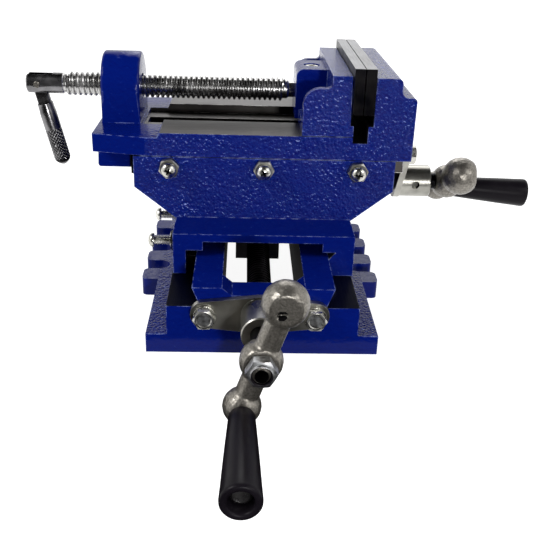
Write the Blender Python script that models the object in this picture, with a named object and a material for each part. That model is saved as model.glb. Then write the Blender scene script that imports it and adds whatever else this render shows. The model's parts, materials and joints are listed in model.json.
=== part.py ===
"""Cross slide vise: a drill press vise whose jaw bed rides on two crossed dovetail slides.

X is the jaw direction, Y the lower slide's direction (front is -Y), Z is up. The origin is the
middle of the base casting's footprint, on the table it is bolted to. All sizes are in metres.
"""
import math

import bmesh
import bpy
from mathutils import Matrix, Vector

# Fits and roundness
CLEARANCE = 0.0003
TURNED_STEPS = 24
BALL_STEPS = 8
CORNER_STEPS = 4

# Base casting
BASE_LENGTH = 0.2260
BASE_LUG_WIDTH = 0.1396
BASE_RAIL_WIDTH = 0.1204
BASE_RAIL_HEIGHT = 0.0107
BASE_BLOCK_WIDTH = 0.0986
WAY_HEIGHT = 0.0269
LOWER_DOVETAIL_HEIGHT = 0.0105
LOWER_DOVETAIL_WIDTH = 0.0724
LOWER_DOVETAIL_UNDERCUT = 0.0040
BASE_SLOT_WIDTH = 0.0420
BASE_END_WALL = 0.0160
BASE_NOTCH_WIDTH = 0.0320
BASE_NOTCH_DEPTH = 0.0042
LUG_COUNT = 4
LUG_PITCH = 0.0267
LUG_DEPTH = 0.0146
LUG_CORNER = 0.0032
LUG_SLOT_FLOOR = 0.0550

# Saddle casting
SADDLE_LENGTH = 0.1492
SADDLE_WIDTH = 0.0986
LEDGE_HEIGHT = 0.0505
CROSS_DEPTH = 0.0982
CROSS_FOOT_WIDTH = 0.1008
CROSS_WIDTH = 0.1444
KNEE_HEIGHT = 0.0678
SADDLE_TOP = 0.0853
LOWER_RELIEF_WIDTH = 0.0650
LOWER_RELIEF_HEIGHT = 0.0460
LOWER_STEP_HEIGHT = 0.0410
LOWER_STEP_REACH = 0.0398
TROUGH_WIDTH = 0.0220
TROUGH_FLOOR = 0.0520
UPPER_SLOT_FLOOR = 0.0710
SADDLE_CENTRE_X = 0.0006

# Gibs and their adjusting screws
GIB_THICKNESS = 0.0050
GIB_END_SETBACK = 0.0020
UPPER_GIB_REACH = 0.0030
GIB_SCREW_DIAMETER = 0.0054
GIB_SCREW_PITCH = 0.0519
GIB_SCREW_HEAD_DIAMETER = 0.0082
GIB_SCREW_HEAD_HEIGHT = 0.0034
UPPER_GIB_SCREW_HEIGHT = 0.0797
UPPER_GIB_SCREW_STANDOUT = 0.0075
LOWER_GIB_SCREW_HEIGHT = 0.0323
LOWER_GIB_SCREW_PITCH = 0.0420
LOWER_GIB_SCREW_SHIFT = 0.0020
LOWER_GIB_SCREW_STANDOUT = 0.0140
JAM_NUT_FLATS = 0.0100
JAM_NUT_HEIGHT = 0.0040

# Vise body casting
BODY_LEFT = -0.0943
BODY_RIGHT = 0.0814
BODY_DEPTH = 0.0982
BED_HEIGHT = 0.0985
BODY_FLOOR = 0.0856
LEFT_LEDGE_HEIGHT = 0.0958
LEFT_LEDGE_END = -0.0570
LEFT_TAPER_START = -0.0650
LEFT_TAPER_DEPTH = 0.0060
CHANNEL_WIDTH = 0.0400
CHANNEL_FLOOR = 0.0933
CHANNEL_LEFT = -0.0690
JAW_GROOVE_LEFT = 0.0481
JAW_GROOVE_RIGHT = 0.0561
JAW_GROOVE_FLOOR = 0.0952
UPPER_DOVETAIL_HEIGHT = 0.0122
UPPER_DOVETAIL_WIDTH = 0.0620
UPPER_DOVETAIL_UNDERCUT = 0.0040
JAW_TOP = 0.1307
FIXED_JAW_BACK = 0.0720
FIXED_SHOULDER_HEIGHT = 0.1206
PLATE_POCKET_FLOOR = 0.1046
POST_LEFT = -0.0925
POST_THICKNESS = 0.0218
POST_RADIUS = 0.0195
KEEPER_SLOT_WIDTH = 0.0130
KEEPER_POCKET_WIDTH = 0.0280
KEEPER_POCKET_CEILING = 0.0865
KEEPER_POCKET_LEFT = -0.0680

# Movable jaw
MOVABLE_LEFT = 0.0203
MOVABLE_STEP = 0.0357
MOVABLE_SHOULDER = 0.1240
MOVABLE_SHOULDER_ROUND = 0.0090
MOVABLE_TOP_DEPTH = 0.0910
CHEEK_THICKNESS = 0.0070
JAW_FOOT_HEIGHT = 0.0060
BOSS_LEFT = 0.0180
BOSS_WIDTH = 0.0290
BOSS_TOP = 0.1280
BOSS_ROUND = 0.0040
KEEPER_THICKNESS = 0.0048
KEEPER_WIDTH = 0.0260
KEEPER_SCREW_PITCH = 0.0130
KEEPER_SCREW_DIAMETER = 0.0040
KEEPER_SCREW_HEAD = 0.0068
KEEPER_SCREW_HEAD_HEIGHT = 0.0030

# Jaw plates
JAW_CONTACT_X = 0.0526
PLATE_THICKNESS = 0.0058
PLATE_LENGTH = 0.1000
PLATE_BOTTOM = 0.1108
PLATE_TOP = 0.1355
PLATE_SCREW_PITCH = 0.0500
PLATE_SCREW_HEAD = 0.0105
PLATE_SCREW_DIAMETER = 0.0050
PLATE_SCREW_CONE = 0.0032
PLATE_SCREW_REACH = 0.0080

# Vise screw and its folding handle
VISE_SCREW_HEIGHT = 0.1135
VISE_SCREW_DIAMETER = 0.0136
VISE_SCREW_NECK = 0.0090
VISE_SCREW_NECK_GROOVE = 0.0064
VISE_SCREW_HEAD_DIAMETER = 0.0120
VISE_SCREW_HEAD_END = -0.1374
VISE_SCREW_THREAD_START = -0.1160
NECK_SCREW_X = 0.0276
NECK_SCREW_HEAD = 0.0090
NECK_SCREW_SHANK = 0.0050
NECK_SCREW_HEAD_SINK = 0.0040
NECK_SCREW_HEAD_HEIGHT = 0.0032
NECK_SCREW_SOCKET = 0.0040
HANDLE_PIVOT_X = -0.1312
HANDLE_PIN_DIAMETER = 0.0034
HANDLE_SLOT_WIDTH = 0.0054
HANDLE_SLOT_LENGTH = 0.0150
HANDLE_LENGTH = 0.0500
HANDLE_TOP_WIDTH = 0.0080
HANDLE_GRIP_DIAMETER = 0.0097
HANDLE_LEAN = 13.0

# Lead screws, brackets and bolts
LOWER_SCREW_X = -0.0017
LOWER_SCREW_HEIGHT = 0.0240
UPPER_SCREW_HEIGHT = 0.0588
LEAD_SCREW_DIAMETER = 0.0134
SCREW_JOURNAL = 0.0100
BRACKET_THICKNESS = 0.0036
COLLAR_DIAMETER = 0.0194
FRONT_COLLAR_LENGTH = 0.0205
SIDE_COLLAR_LENGTH = 0.0187
FRONT_BOLT_SPACING = 0.0560
BRACKET_LOBE_RADIUS = 0.0073
BRACKET_CENTRE_RADIUS = 0.0103
SIDE_BOLT_SPACING = 0.0410
SIDE_BOLT_HEIGHT = 0.0815
OIL_HOLE_DIAMETER = 0.0048
OIL_HOLE_PLACE = 0.48
BOLT_DIAMETER = 0.0060
BOLT_FLATS = 0.0100
BOLT_HEAD_HEIGHT = 0.0040
BOLT_GRIP = 0.0130
WASHER_DIAMETER = 0.0112
WASHER_THICKNESS = 0.0016
LOWER_SCREW_REAR = 0.0720
UPPER_SCREW_LEFT = -0.0700

# Nuts that the lead screws drive
LOWER_NUT_WIDTH = 0.0270
LOWER_NUT_LENGTH = 0.0280
LOWER_NUT_BOTTOM = 0.0100
LOWER_NUT_FLANGE_LENGTH = 0.0480
LOWER_NUT_FLANGE_HEIGHT = 0.0080
LOWER_NUT_SCREW_PITCH = 0.0380
LOWER_NUT_SCREW_DIAMETER = 0.0050
LOWER_NUT_SCREW_HEAD = 0.0080
LOWER_NUT_SCREW_HEAD_HEIGHT = 0.0034
UPPER_NUT_LENGTH = 0.0280
UPPER_NUT_WIDTH = 0.0260

# Ball cranks
CRANK_HUB_RADIUS = 0.0104
CRANK_WEIGHT_RADIUS = 0.0110
CRANK_GRIP_BALL_RADIUS = 0.0094
CRANK_WEIGHT_REACH = 0.0310
CRANK_GRIP_REACH = 0.0260
CRANK_ARM_DIAMETER = 0.0120
CRANK_FLAT_DEPTH = 0.0032
CRANK_HUB_FLAT = 0.0042
CRANK_HUB_SEAT = 0.0024
CRANK_NUT_FLATS = 0.0130
CRANK_NUT_HEIGHT = 0.0078
CRANK_NUT_COLLAR = 0.0112
CRANK_NUT_MOUTH = 0.0092
FRONT_CRANK_Y = -0.1600
SIDE_CRANK_X = 0.1158
FRONT_CRANK_LEAN = 19.0
SIDE_CRANK_LEAN = 24.0
SIDE_GRIP_DROOP = 4.0
GRIP_START_DIAMETER = 0.0125
GRIP_END_DIAMETER = 0.0180
FRONT_GRIP_LENGTH = 0.0585
SIDE_GRIP_LENGTH = 0.0500
GRIP_BORE = 0.0066
GRIP_RECESS_DIAMETER = 0.0112
GRIP_RECESS_DEPTH = 0.0080
SPINDLE_DIAMETER = 0.0058
SPINDLE_HEAD_DIAMETER = 0.0096

PAINT_BLUE = (0.010, 0.022, 0.230)
MACHINED_GREY = (0.150, 0.140, 0.130)
ZINC = (0.600, 0.600, 0.580)
BLACK_OXIDE = (0.020, 0.020, 0.022)
CAST_GREY = (0.240, 0.230, 0.210)
BLACK_PLASTIC = (0.012, 0.012, 0.013)
BRIGHT_STEEL = (0.500, 0.490, 0.470)


def finish(name, colour, roughness, metallic):
    """One Principled material per finish."""
    material = bpy.data.materials.new(name)
    material.use_nodes = True
    shader = material.node_tree.nodes["Principled BSDF"]
    shader.inputs["Base Color"].default_value = (*colour, 1.0)
    shader.inputs["Roughness"].default_value = roughness
    shader.inputs["Metallic"].default_value = metallic
    return material


def link_mesh(name, bm, material):
    """Turn a bmesh into an object with outward faces and smooth round sides."""
    bmesh.ops.remove_doubles(bm, verts=bm.verts, dist=1e-7)
    bmesh.ops.recalc_face_normals(bm, faces=bm.faces)
    mesh = bpy.data.meshes.new(name)
    bm.to_mesh(mesh)
    bm.free()
    mesh.materials.append(material)
    obj = bpy.data.objects.new(name, mesh)
    bpy.context.scene.collection.objects.link(obj)
    return obj


PLANES = {
    "X": lambda a, b, t: Vector((t, a, b)),
    "Y": lambda a, b, t: Vector((a, t, b)),
    "Z": lambda a, b, t: Vector((a, b, t)),
}


def extrude(name, outline, axis, low, high, material):
    """Push a flat outline along one axis from low to high."""
    place = PLANES[axis]
    bm = bmesh.new()
    corners = [bm.verts.new(place(a, b, low)) for a, b in outline]
    face = bm.faces.new(corners)
    result = bmesh.ops.extrude_face_region(bm, geom=[face])
    moved = [item for item in result["geom"] if isinstance(item, bmesh.types.BMVert)]
    bmesh.ops.translate(bm, verts=moved, vec=place(0, 0, high - low))
    return link_mesh(name, bm, material)


def block(name, low, high, material):
    """A rectangular block between two corners."""
    outline = [(low[0], low[1]), (high[0], low[1]), (high[0], high[1]), (low[0], high[1])]
    return extrude(name, outline, "Z", low[2], high[2], material)


def turn(name, profile, centre, axis, material, steps=TURNED_STEPS, phase=0.0):
    """Revolve (distance along axis, radius) points about an axis through centre."""
    aim = Vector(axis).normalized()
    frame = aim.to_track_quat("Z", "Y").to_matrix().to_4x4()
    frame.translation = Vector(centre)
    bm = bmesh.new()
    rings = []
    for along, radius in profile:
        if radius == 0:
            rings.append([bm.verts.new(frame @ Vector((0, 0, along)))])
            continue
        ring = []
        for step in range(steps):
            angle = phase + 2 * math.pi * step / steps
            spot = Vector((radius * math.cos(angle), radius * math.sin(angle), along))
            ring.append(bm.verts.new(frame @ spot))
        rings.append(ring)
    for first, second in zip(rings, rings[1:]):
        for step in range(steps):
            after = (step + 1) % steps
            corners = [first[step % len(first)], first[after % len(first)]]
            corners += [second[after % len(second)], second[step % len(second)]]
            bm.faces.new(list(dict.fromkeys(corners)))
    for ring in (rings[0], rings[-1]):
        if len(ring) > 1:
            bm.faces.new(ring)
    return link_mesh(name, bm, material)


def rod(name, diameter, start, end, axis_point, axis, material, steps=TURNED_STEPS, chamfer=0.0):
    """A straight bar from start to end, measured along the axis from axis_point."""
    radius = diameter / 2
    profile = [(start, radius - chamfer), (start + chamfer, radius)]
    profile += [(end - chamfer, radius), (end, radius - chamfer)]
    if chamfer == 0:
        profile = [(start, radius), (end, radius)]
    return turn(name, profile, axis_point, axis, material, steps)


def hexagon(name, flats, start, end, axis_point, axis, material, phase=0.0):
    """A hexagonal bar with its corners chamfered at the far end."""
    corner = flats / math.sqrt(3)
    turned = turn(name, [(start, corner), (end, corner)], axis_point, axis, material, 6, phase)
    chamfer = (corner - flats / 2) * 1.1
    length = end - start
    cone = [(start - length, corner * 1.3), (end - chamfer * 0.55, corner * 1.02)]
    cone += [(end + 1e-5, flats / 2 * 0.97), (end + length, flats / 2 * 0.97)]
    keep = turn("keep", cone, axis_point, axis, material)
    return combine(turned, keep, "INTERSECT")


def combine(target, tool, operation):
    """Apply an exact boolean and drop the tool."""
    modifier = target.modifiers.new("shape", "BOOLEAN")
    modifier.operation = operation
    modifier.solver = "EXACT"
    modifier.object = tool
    bpy.context.view_layer.update()
    evaluated = target.evaluated_get(bpy.context.evaluated_depsgraph_get())
    mesh = bpy.data.meshes.new_from_object(evaluated)
    target.modifiers.clear()
    target.data = mesh
    mesh.name = target.name
    bpy.data.objects.remove(tool)
    return target


def cut(target, tool):
    """Take the tool's volume away from the target."""
    return combine(target, tool, "DIFFERENCE")


def join(target, tool):
    """Fuse the tool's volume onto the target."""
    return combine(target, tool, "UNION")


def round_edges(obj, wanted, radius, steps=CORNER_STEPS):
    """Bevel the sharp edges whose two ends both pass the test."""
    bm = bmesh.new()
    bm.from_mesh(obj.data)
    edges = []
    for edge in bm.edges:
        ends = [vert.co for vert in edge.verts]
        if len(edge.link_faces) == 2 and edge.calc_face_angle(0) > 0.3 and wanted(*ends):
            edges.append(edge)
    bmesh.ops.bevel(bm, geom=edges, offset=radius, segments=steps, affect="EDGES", profile=0.5)
    bm.to_mesh(obj.data)
    bm.free()
    return obj


def arc(centre, radius, start, end, steps):
    """Points on an arc, angles in degrees."""
    points = []
    for step in range(steps + 1):
        angle = math.radians(start + (end - start) * step / steps)
        points.append((centre[0] + radius * math.cos(angle), centre[1] + radius * math.sin(angle)))
    return points


def wrap_circles(circles, steps=24):
    """Outline of a belt drawn round circles given as (a, b, radius), counter-clockwise."""
    cloud = []
    for a, b, radius in circles:
        cloud += arc((a, b), radius, 0, 360 - 360 / steps, steps - 1)
    start = min(cloud)
    outline = [start]
    while True:
        here = outline[-1]
        best = None
        for spot in cloud:
            if spot == here:
                continue
            if best is None:
                best = spot
                continue
            turn_side = (best[0] - here[0]) * (spot[1] - here[1])
            turn_side -= (best[1] - here[1]) * (spot[0] - here[0])
            if turn_side < 0:
                best = spot
        if best == start:
            return outline
        outline.append(best)


def ball_profile(radius, start, end, steps):
    """Profile points of a ball centred at zero between two distances along its axis."""
    first = math.acos(max(-1, min(1, start / radius)))
    last = math.acos(max(-1, min(1, end / radius)))
    points = []
    for step in range(steps + 1):
        angle = first + (last - first) * step / steps
        points.append((radius * math.cos(angle), radius * math.sin(angle)))
    return points


def mirrored(outline):
    """Add the left half of an outline given for positive first coordinates."""
    return outline + [(-a, b) for a, b in reversed(outline)]


LOWER_TOP = WAY_HEIGHT + LOWER_DOVETAIL_HEIGHT
LOWER_HALF = LOWER_DOVETAIL_WIDTH / 2
LOWER_SLOPE = LOWER_DOVETAIL_UNDERCUT / LOWER_DOVETAIL_HEIGHT
LOWER_GIB_WALL = LOWER_HALF + GIB_THICKNESS + 2 * CLEARANCE
UPPER_BOTTOM = BODY_FLOOR - UPPER_DOVETAIL_HEIGHT
UPPER_HALF = UPPER_DOVETAIL_WIDTH / 2
UPPER_SLOPE = UPPER_DOVETAIL_UNDERCUT / UPPER_DOVETAIL_HEIGHT
UPPER_GIB_WALL = UPPER_HALF + GIB_THICKNESS + 2 * CLEARANCE
BASE_FRONT = -BASE_LENGTH / 2
FRONT_PLATE = BASE_FRONT - CLEARANCE
SIDE_PLATE = BODY_RIGHT + CLEARANCE
SEAT_HEIGHT = WAY_HEIGHT + CLEARANCE
JAW_SEAT = BED_HEIGHT + CLEARANCE
FIXED_SEAT = JAW_CONTACT_X + CLEARANCE / 2 + PLATE_THICKNESS + CLEARANCE
MOVABLE_SEAT = JAW_CONTACT_X - CLEARANCE / 2 - PLATE_THICKNESS - CLEARANCE
SADDLE_LEFT_SIDE = SADDLE_CENTRE_X - SADDLE_WIDTH / 2
LONG = 0.4


def make_base(paint):
    """Base casting: bolting rails with open-ended lug slots, ways and the lower dovetail."""
    half_lug = BASE_LUG_WIDTH / 2
    foot = LOWER_HALF - LOWER_DOVETAIL_UNDERCUT
    outline = [(half_lug, 0), (half_lug, BASE_RAIL_HEIGHT), (BASE_BLOCK_WIDTH / 2, BASE_RAIL_HEIGHT)]
    outline += [(BASE_BLOCK_WIDTH / 2, WAY_HEIGHT), (foot, WAY_HEIGHT), (LOWER_HALF, LOWER_TOP)]
    base = extrude("base", mirrored(outline), "Y", BASE_FRONT, -BASE_FRONT, paint)
    lugs_half = (LUG_COUNT - 1) * LUG_PITCH / 2 + LUG_DEPTH / 2
    slot_half = (LUG_PITCH - LUG_DEPTH) / 2
    for side in (-1, 1):
        edge = side * BASE_RAIL_WIDTH / 2
        outside = side * half_lug * 1.2
        for end in (-1, 1):
            low = (min(edge, outside), min(end * lugs_half, end * BASE_LENGTH), -BASE_RAIL_HEIGHT)
            high = (max(edge, outside), max(end * lugs_half, end * BASE_LENGTH), 2 * BASE_RAIL_HEIGHT)
            cut(base, block("cutter", low, high, paint))
        for gap in range(LUG_COUNT - 1):
            middle = (gap - (LUG_COUNT - 2) / 2) * LUG_PITCH
            round_end = arc((LUG_SLOT_FLOOR + slot_half, middle), slot_half, 90, 270, 8)
            slot = round_end + [(abs(outside), middle - slot_half), (abs(outside), middle + slot_half)]
            slot = [(side * a, b) for a, b in slot]
            cut(base, extrude("cutter", slot, "Z", -BASE_RAIL_HEIGHT, 2 * BASE_RAIL_HEIGHT, paint))

    def lug_corner(one, two):
        upright = abs(one.x - two.x) < 1e-6 and abs(one.y - two.y) < 1e-6
        return upright and abs(one.x) > half_lug - 1e-5

    round_edges(base, lug_corner, LUG_CORNER)
    slot_half_width = BASE_SLOT_WIDTH / 2
    slot_end = -BASE_FRONT - BASE_END_WALL
    low = (-slot_half_width, -slot_end, -WAY_HEIGHT)
    cut(base, block("cutter", low, (slot_half_width, slot_end, LONG), paint))
    notch_half = BASE_NOTCH_WIDTH / 2
    notch_floor = LOWER_TOP - BASE_NOTCH_DEPTH
    notch = [(notch_half, notch_floor), (slot_half_width, LOWER_TOP), (slot_half_width, LONG)]
    cut(base, extrude("cutter", mirrored(notch), "Y", -BASE_LENGTH, BASE_LENGTH, paint))
    screw_line = (LOWER_SCREW_X, 0, LOWER_SCREW_HEIGHT)
    bore = LEAD_SCREW_DIAMETER + 4 * CLEARANCE
    cut(base, rod("cutter", bore, -LONG, LONG, screw_line, (0, 1, 0), paint))
    for side in (-1, 1):
        spot = (LOWER_SCREW_X + side * FRONT_BOLT_SPACING / 2, BASE_FRONT, LOWER_SCREW_HEIGHT)
        hole = BOLT_DIAMETER + 2 * CLEARANCE
        cut(base, rod("cutter", hole, -BASE_END_WALL, BOLT_GRIP, spot, (0, 1, 0), paint, 16))
    return base


def make_saddle(paint):
    """Saddle casting: lower female dovetail along Y, upper female dovetail along X."""
    half = SADDLE_WIDTH / 2
    right_top = LOWER_HALF + CLEARANCE + LOWER_SLOPE * CLEARANCE
    right_foot = right_top - LOWER_SLOPE * (LOWER_TOP - SEAT_HEIGHT)
    relief = LOWER_RELIEF_WIDTH / 2
    centre = SADDLE_CENTRE_X
    outline = [(centre - half, SEAT_HEIGHT), (centre - half, LEDGE_HEIGHT), (centre + half, LEDGE_HEIGHT)]
    outline += [(centre + half, SEAT_HEIGHT), (right_foot, SEAT_HEIGHT), (right_top, LOWER_TOP)]
    outline += [(LOWER_STEP_REACH, LOWER_STEP_HEIGHT), (relief, LOWER_STEP_HEIGHT)]
    outline += [(relief, LOWER_RELIEF_HEIGHT), (-relief, LOWER_RELIEF_HEIGHT), (-relief, LOWER_STEP_HEIGHT)]
    outline += [(-LOWER_GIB_WALL, LOWER_STEP_HEIGHT), (-LOWER_GIB_WALL, SEAT_HEIGHT)]
    saddle = extrude("saddle", outline, "Y", -SADDLE_LENGTH / 2, SADDLE_LENGTH / 2, paint)
    foot = CROSS_FOOT_WIDTH / 2
    wide = CROSS_WIDTH / 2
    root = LEDGE_HEIGHT - 0.001
    cross = [(half * 0.99, root), (foot, LEDGE_HEIGHT), (wide, KNEE_HEIGHT), (wide, SADDLE_TOP)]
    cross = [(centre + a, b) for a, b in mirrored(cross)]
    join(saddle, extrude("tool", cross, "Y", -CROSS_DEPTH / 2, CROSS_DEPTH / 2, paint))
    rear_top = UPPER_HALF + CLEARANCE - UPPER_SLOPE * (LONG - UPPER_BOTTOM)
    rear_foot = UPPER_HALF + CLEARANCE
    trough = TROUGH_WIDTH / 2
    channel = [(-UPPER_GIB_WALL, LONG), (-UPPER_GIB_WALL, UPPER_SLOT_FLOOR), (-trough, UPPER_SLOT_FLOOR)]
    channel += [(-trough, TROUGH_FLOOR), (trough, TROUGH_FLOOR), (trough, UPPER_SLOT_FLOOR)]
    channel += [(rear_foot + 0.0014, UPPER_SLOT_FLOOR), (rear_foot, UPPER_BOTTOM), (rear_top, LONG)]
    cut(saddle, extrude("cutter", channel, "X", -LONG, LONG, paint))
    pocket_x = UPPER_NUT_LENGTH / 2 + CLEARANCE
    pocket_y = UPPER_NUT_WIDTH / 2 + CLEARANCE
    low = (-pocket_x, -pocket_y, TROUGH_FLOOR)
    high = (pocket_x, pocket_y, UPPER_SLOT_FLOOR + 0.004)
    cut(saddle, block("cutter", low, high, paint))
    hole = GIB_SCREW_DIAMETER + 2 * CLEARANCE
    for number in (-1, 0, 1):
        spot = (number * GIB_SCREW_PITCH, -UPPER_GIB_WALL, UPPER_GIB_SCREW_HEIGHT)
        cut(saddle, rod("cutter", hole, -0.002, 0.03, spot, (0, -1, 0), paint, 16))
        across = number * LOWER_GIB_SCREW_PITCH + LOWER_GIB_SCREW_SHIFT
        spot = (-LOWER_GIB_WALL, across, LOWER_GIB_SCREW_HEIGHT)
        cut(saddle, rod("cutter", hole, -0.002, 0.03, spot, (-1, 0, 0), paint, 16))
    for side in (-1, 1):
        spot = (LOWER_SCREW_X, side * LOWER_NUT_SCREW_PITCH / 2, LOWER_RELIEF_HEIGHT)
        hole = LOWER_NUT_SCREW_DIAMETER + 2 * CLEARANCE
        cut(saddle, rod("cutter", hole, -0.002, 0.010, spot, (0, 0, 1), paint, 16))
    return saddle


def make_lower_gib(material):
    """Gib strip between the saddle's left leg and the lower dovetail."""
    inner_top = LOWER_HALF + CLEARANCE
    inner_foot = inner_top - LOWER_SLOPE * (LOWER_TOP - SEAT_HEIGHT)
    outer = LOWER_GIB_WALL - CLEARANCE
    low = SEAT_HEIGHT + CLEARANCE
    outline = [(-outer, low), (-inner_foot, low), (-inner_top, LOWER_TOP), (-outer, LOWER_TOP)]
    reach = SADDLE_LENGTH / 2 - GIB_END_SETBACK
    return extrude("lower_gib", outline, "Y", -reach, reach, material)


def make_upper_gib(material):
    """Gib strip between the saddle's front wall and the body's dovetail."""
    low = UPPER_SLOT_FLOOR + CLEARANCE
    high = BODY_FLOOR - 2 * CLEARANCE
    outer = UPPER_GIB_WALL - CLEARANCE
    inner_low = UPPER_HALF + CLEARANCE
    inner_high = inner_low - UPPER_SLOPE * (high - UPPER_BOTTOM)
    outline = [(-outer, low), (-inner_low, low), (-inner_low, UPPER_BOTTOM), (-inner_high, high)]
    outline += [(-outer, high)]
    left = SADDLE_CENTRE_X - CROSS_WIDTH / 2 - UPPER_GIB_REACH
    right = SADDLE_CENTRE_X + CROSS_WIDTH / 2 - GIB_END_SETBACK
    return extrude("upper_gib", outline, "X", left, right, material)


def make_gib_screw(name, seat, wall, standout, direction, material):
    """Pan head adjusting screw: tip on the gib, head standing out past its jam nut."""
    tip = CLEARANCE
    under_head = wall + standout - GIB_SCREW_HEAD_HEIGHT
    shank = GIB_SCREW_DIAMETER / 2
    head = GIB_SCREW_HEAD_DIAMETER / 2
    profile = [(tip, shank * 0.7), (tip + shank * 0.3, shank), (under_head, shank), (under_head, head)]
    for step in range(3):
        angle = math.radians(24 + 32 * step)
        rise = GIB_SCREW_HEAD_HEIGHT * math.sin(angle)
        profile.append((under_head + rise, head * (0.35 + 0.65 * math.cos(angle))))
    return turn(name, profile, seat, direction, material, 16)


def make_jam_nut(name, seat, wall, direction, phase, material):
    """Thin hexagonal lock nut round a gib screw."""
    start = wall + CLEARANCE
    nut = hexagon(name, JAM_NUT_FLATS, start, start + JAM_NUT_HEIGHT, seat, direction, material, phase)
    hole = GIB_SCREW_DIAMETER + 2 * CLEARANCE
    return cut(nut, rod("cutter", hole, 0, wall * 3, seat, direction, material, 16))


def make_gib_fixings(zinc):
    """Three screws and lock nuts for each gib."""
    for number in (-1, 0, 1):
        label = str(number + 2)
        wall = CROSS_DEPTH / 2 - UPPER_GIB_WALL
        seat = (number * GIB_SCREW_PITCH, -UPPER_GIB_WALL, UPPER_GIB_SCREW_HEIGHT)
        standout = UPPER_GIB_SCREW_STANDOUT + JAM_NUT_HEIGHT / 2
        make_gib_screw("upper_gib_screw_" + label, seat, wall, standout, (0, -1, 0), zinc)
        make_jam_nut("upper_gib_nut_" + label, seat, wall, (0, -1, 0), math.pi / 6, zinc)
        wall = -SADDLE_LEFT_SIDE - LOWER_GIB_WALL
        across = number * LOWER_GIB_SCREW_PITCH + LOWER_GIB_SCREW_SHIFT
        seat = (-LOWER_GIB_WALL, across, LOWER_GIB_SCREW_HEIGHT)
        standout = LOWER_GIB_SCREW_STANDOUT + GIB_SCREW_HEAD_HEIGHT
        make_gib_screw("lower_gib_screw_" + label, seat, wall, standout, (-1, 0, 0), zinc)
        make_jam_nut("lower_gib_nut_" + label, seat, wall, (-1, 0, 0), 0.0, zinc)


def body_outline():
    """Side view of the vise body and its fixed jaw."""
    back = FIXED_JAW_BACK
    shoulder = FIXED_SHOULDER_HEIGHT
    outline = [(BODY_LEFT, BODY_FLOOR), (BODY_RIGHT, BODY_FLOOR)]
    outline += arc((BODY_RIGHT - 0.0022, shoulder - 0.0022), 0.0022, 0, 90, 3)
    outline += arc((back + 0.0045, shoulder + 0.0035), 0.0035, 270, 180, 3)
    outline += arc((back - 0.0018, JAW_TOP - 0.0028), 0.0028, 0, 90, 3)
    outline += [(FIXED_SEAT, JAW_TOP), (FIXED_SEAT, PLATE_POCKET_FLOOR)]
    outline += [(JAW_GROOVE_RIGHT, PLATE_POCKET_FLOOR), (JAW_GROOVE_RIGHT, JAW_GROOVE_FLOOR)]
    outline += [(JAW_GROOVE_LEFT, JAW_GROOVE_FLOOR), (JAW_GROOVE_LEFT, BED_HEIGHT)]
    outline += [(LEFT_LEDGE_END, BED_HEIGHT)]
    outline += [(LEFT_LEDGE_END - 0.0015, LEFT_LEDGE_HEIGHT), (BODY_LEFT, LEFT_LEDGE_HEIGHT)]
    return outline


def make_vise_body(paint):
    """Vise body casting: bed, fixed jaw, nut post and the upper dovetail."""
    half = BODY_DEPTH / 2
    body = extrude("vise_body", body_outline(), "Y", -half, half, paint)
    root = BODY_FLOOR + 0.002
    tail = [(UPPER_HALF, UPPER_BOTTOM), (UPPER_HALF - UPPER_DOVETAIL_UNDERCUT, BODY_FLOOR)]
    tail += [(UPPER_HALF - UPPER_DOVETAIL_UNDERCUT, root)]
    inset = CLEARANCE
    join(body, extrude("tool", mirrored(tail), "X", BODY_LEFT + inset, BODY_RIGHT - inset, paint))
    post = arc((0, VISE_SCREW_HEIGHT), POST_RADIUS, 0, 180, 16)
    post += [(-POST_RADIUS, root), (POST_RADIUS, root)]
    post_right = POST_LEFT + POST_THICKNESS
    join(body, extrude("tool", post, "X", POST_LEFT, post_right, paint))
    for side in (-1, 1):
        end = BODY_LEFT - 0.01
        wedge = [(LEFT_TAPER_START, side * half), (end, side * (half - LEFT_TAPER_DEPTH * 1.34))]
        wedge += [(end, side * half * 1.3), (LEFT_TAPER_START, side * half * 1.3)]
        cut(body, extrude("cutter", wedge, "Z", 0, LONG, paint))
    channel = CHANNEL_WIDTH / 2
    low = (CHANNEL_LEFT, -channel, CHANNEL_FLOOR)
    high = (JAW_GROOVE_LEFT + 0.0005, channel, BED_HEIGHT + 0.01)
    cut(body, block("cutter", low, high, paint))
    low = (KEEPER_POCKET_LEFT, -KEEPER_POCKET_WIDTH / 2, 0)
    high = (JAW_GROOVE_LEFT, KEEPER_POCKET_WIDTH / 2, KEEPER_POCKET_CEILING)
    cut(body, block("cutter", low, high, paint))
    slot = KEEPER_SLOT_WIDTH / 2
    high = (JAW_GROOVE_LEFT - 0.001, slot, BED_HEIGHT + CLEARANCE)
    cut(body, block("cutter", (KEEPER_POCKET_LEFT, -slot, 0), high, paint))
    bore = VISE_SCREW_DIAMETER + 2 * CLEARANCE
    line = (0, 0, VISE_SCREW_HEIGHT)
    cut(body, rod("cutter", bore, BODY_LEFT - 0.01, post_right + 0.01, line, (1, 0, 0), paint))
    for side in (-1, 1):
        spot = (BODY_RIGHT, side * SIDE_BOLT_SPACING / 2, SIDE_BOLT_HEIGHT)
        hole = BOLT_DIAMETER + 2 * CLEARANCE
        cut(body, rod("cutter", hole, -BOLT_GRIP, BOLT_GRIP, spot, (1, 0, 0), paint, 16))
        spot = (FIXED_SEAT, side * PLATE_SCREW_PITCH / 2, (PLATE_BOTTOM + PLATE_TOP) / 2)
        hole = PLATE_SCREW_DIAMETER + 2 * CLEARANCE
        depth = PLATE_SCREW_REACH + CLEARANCE
        cut(body, rod("cutter", hole, -0.003, depth, spot, (1, 0, 0), paint, 16))
    return body


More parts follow.
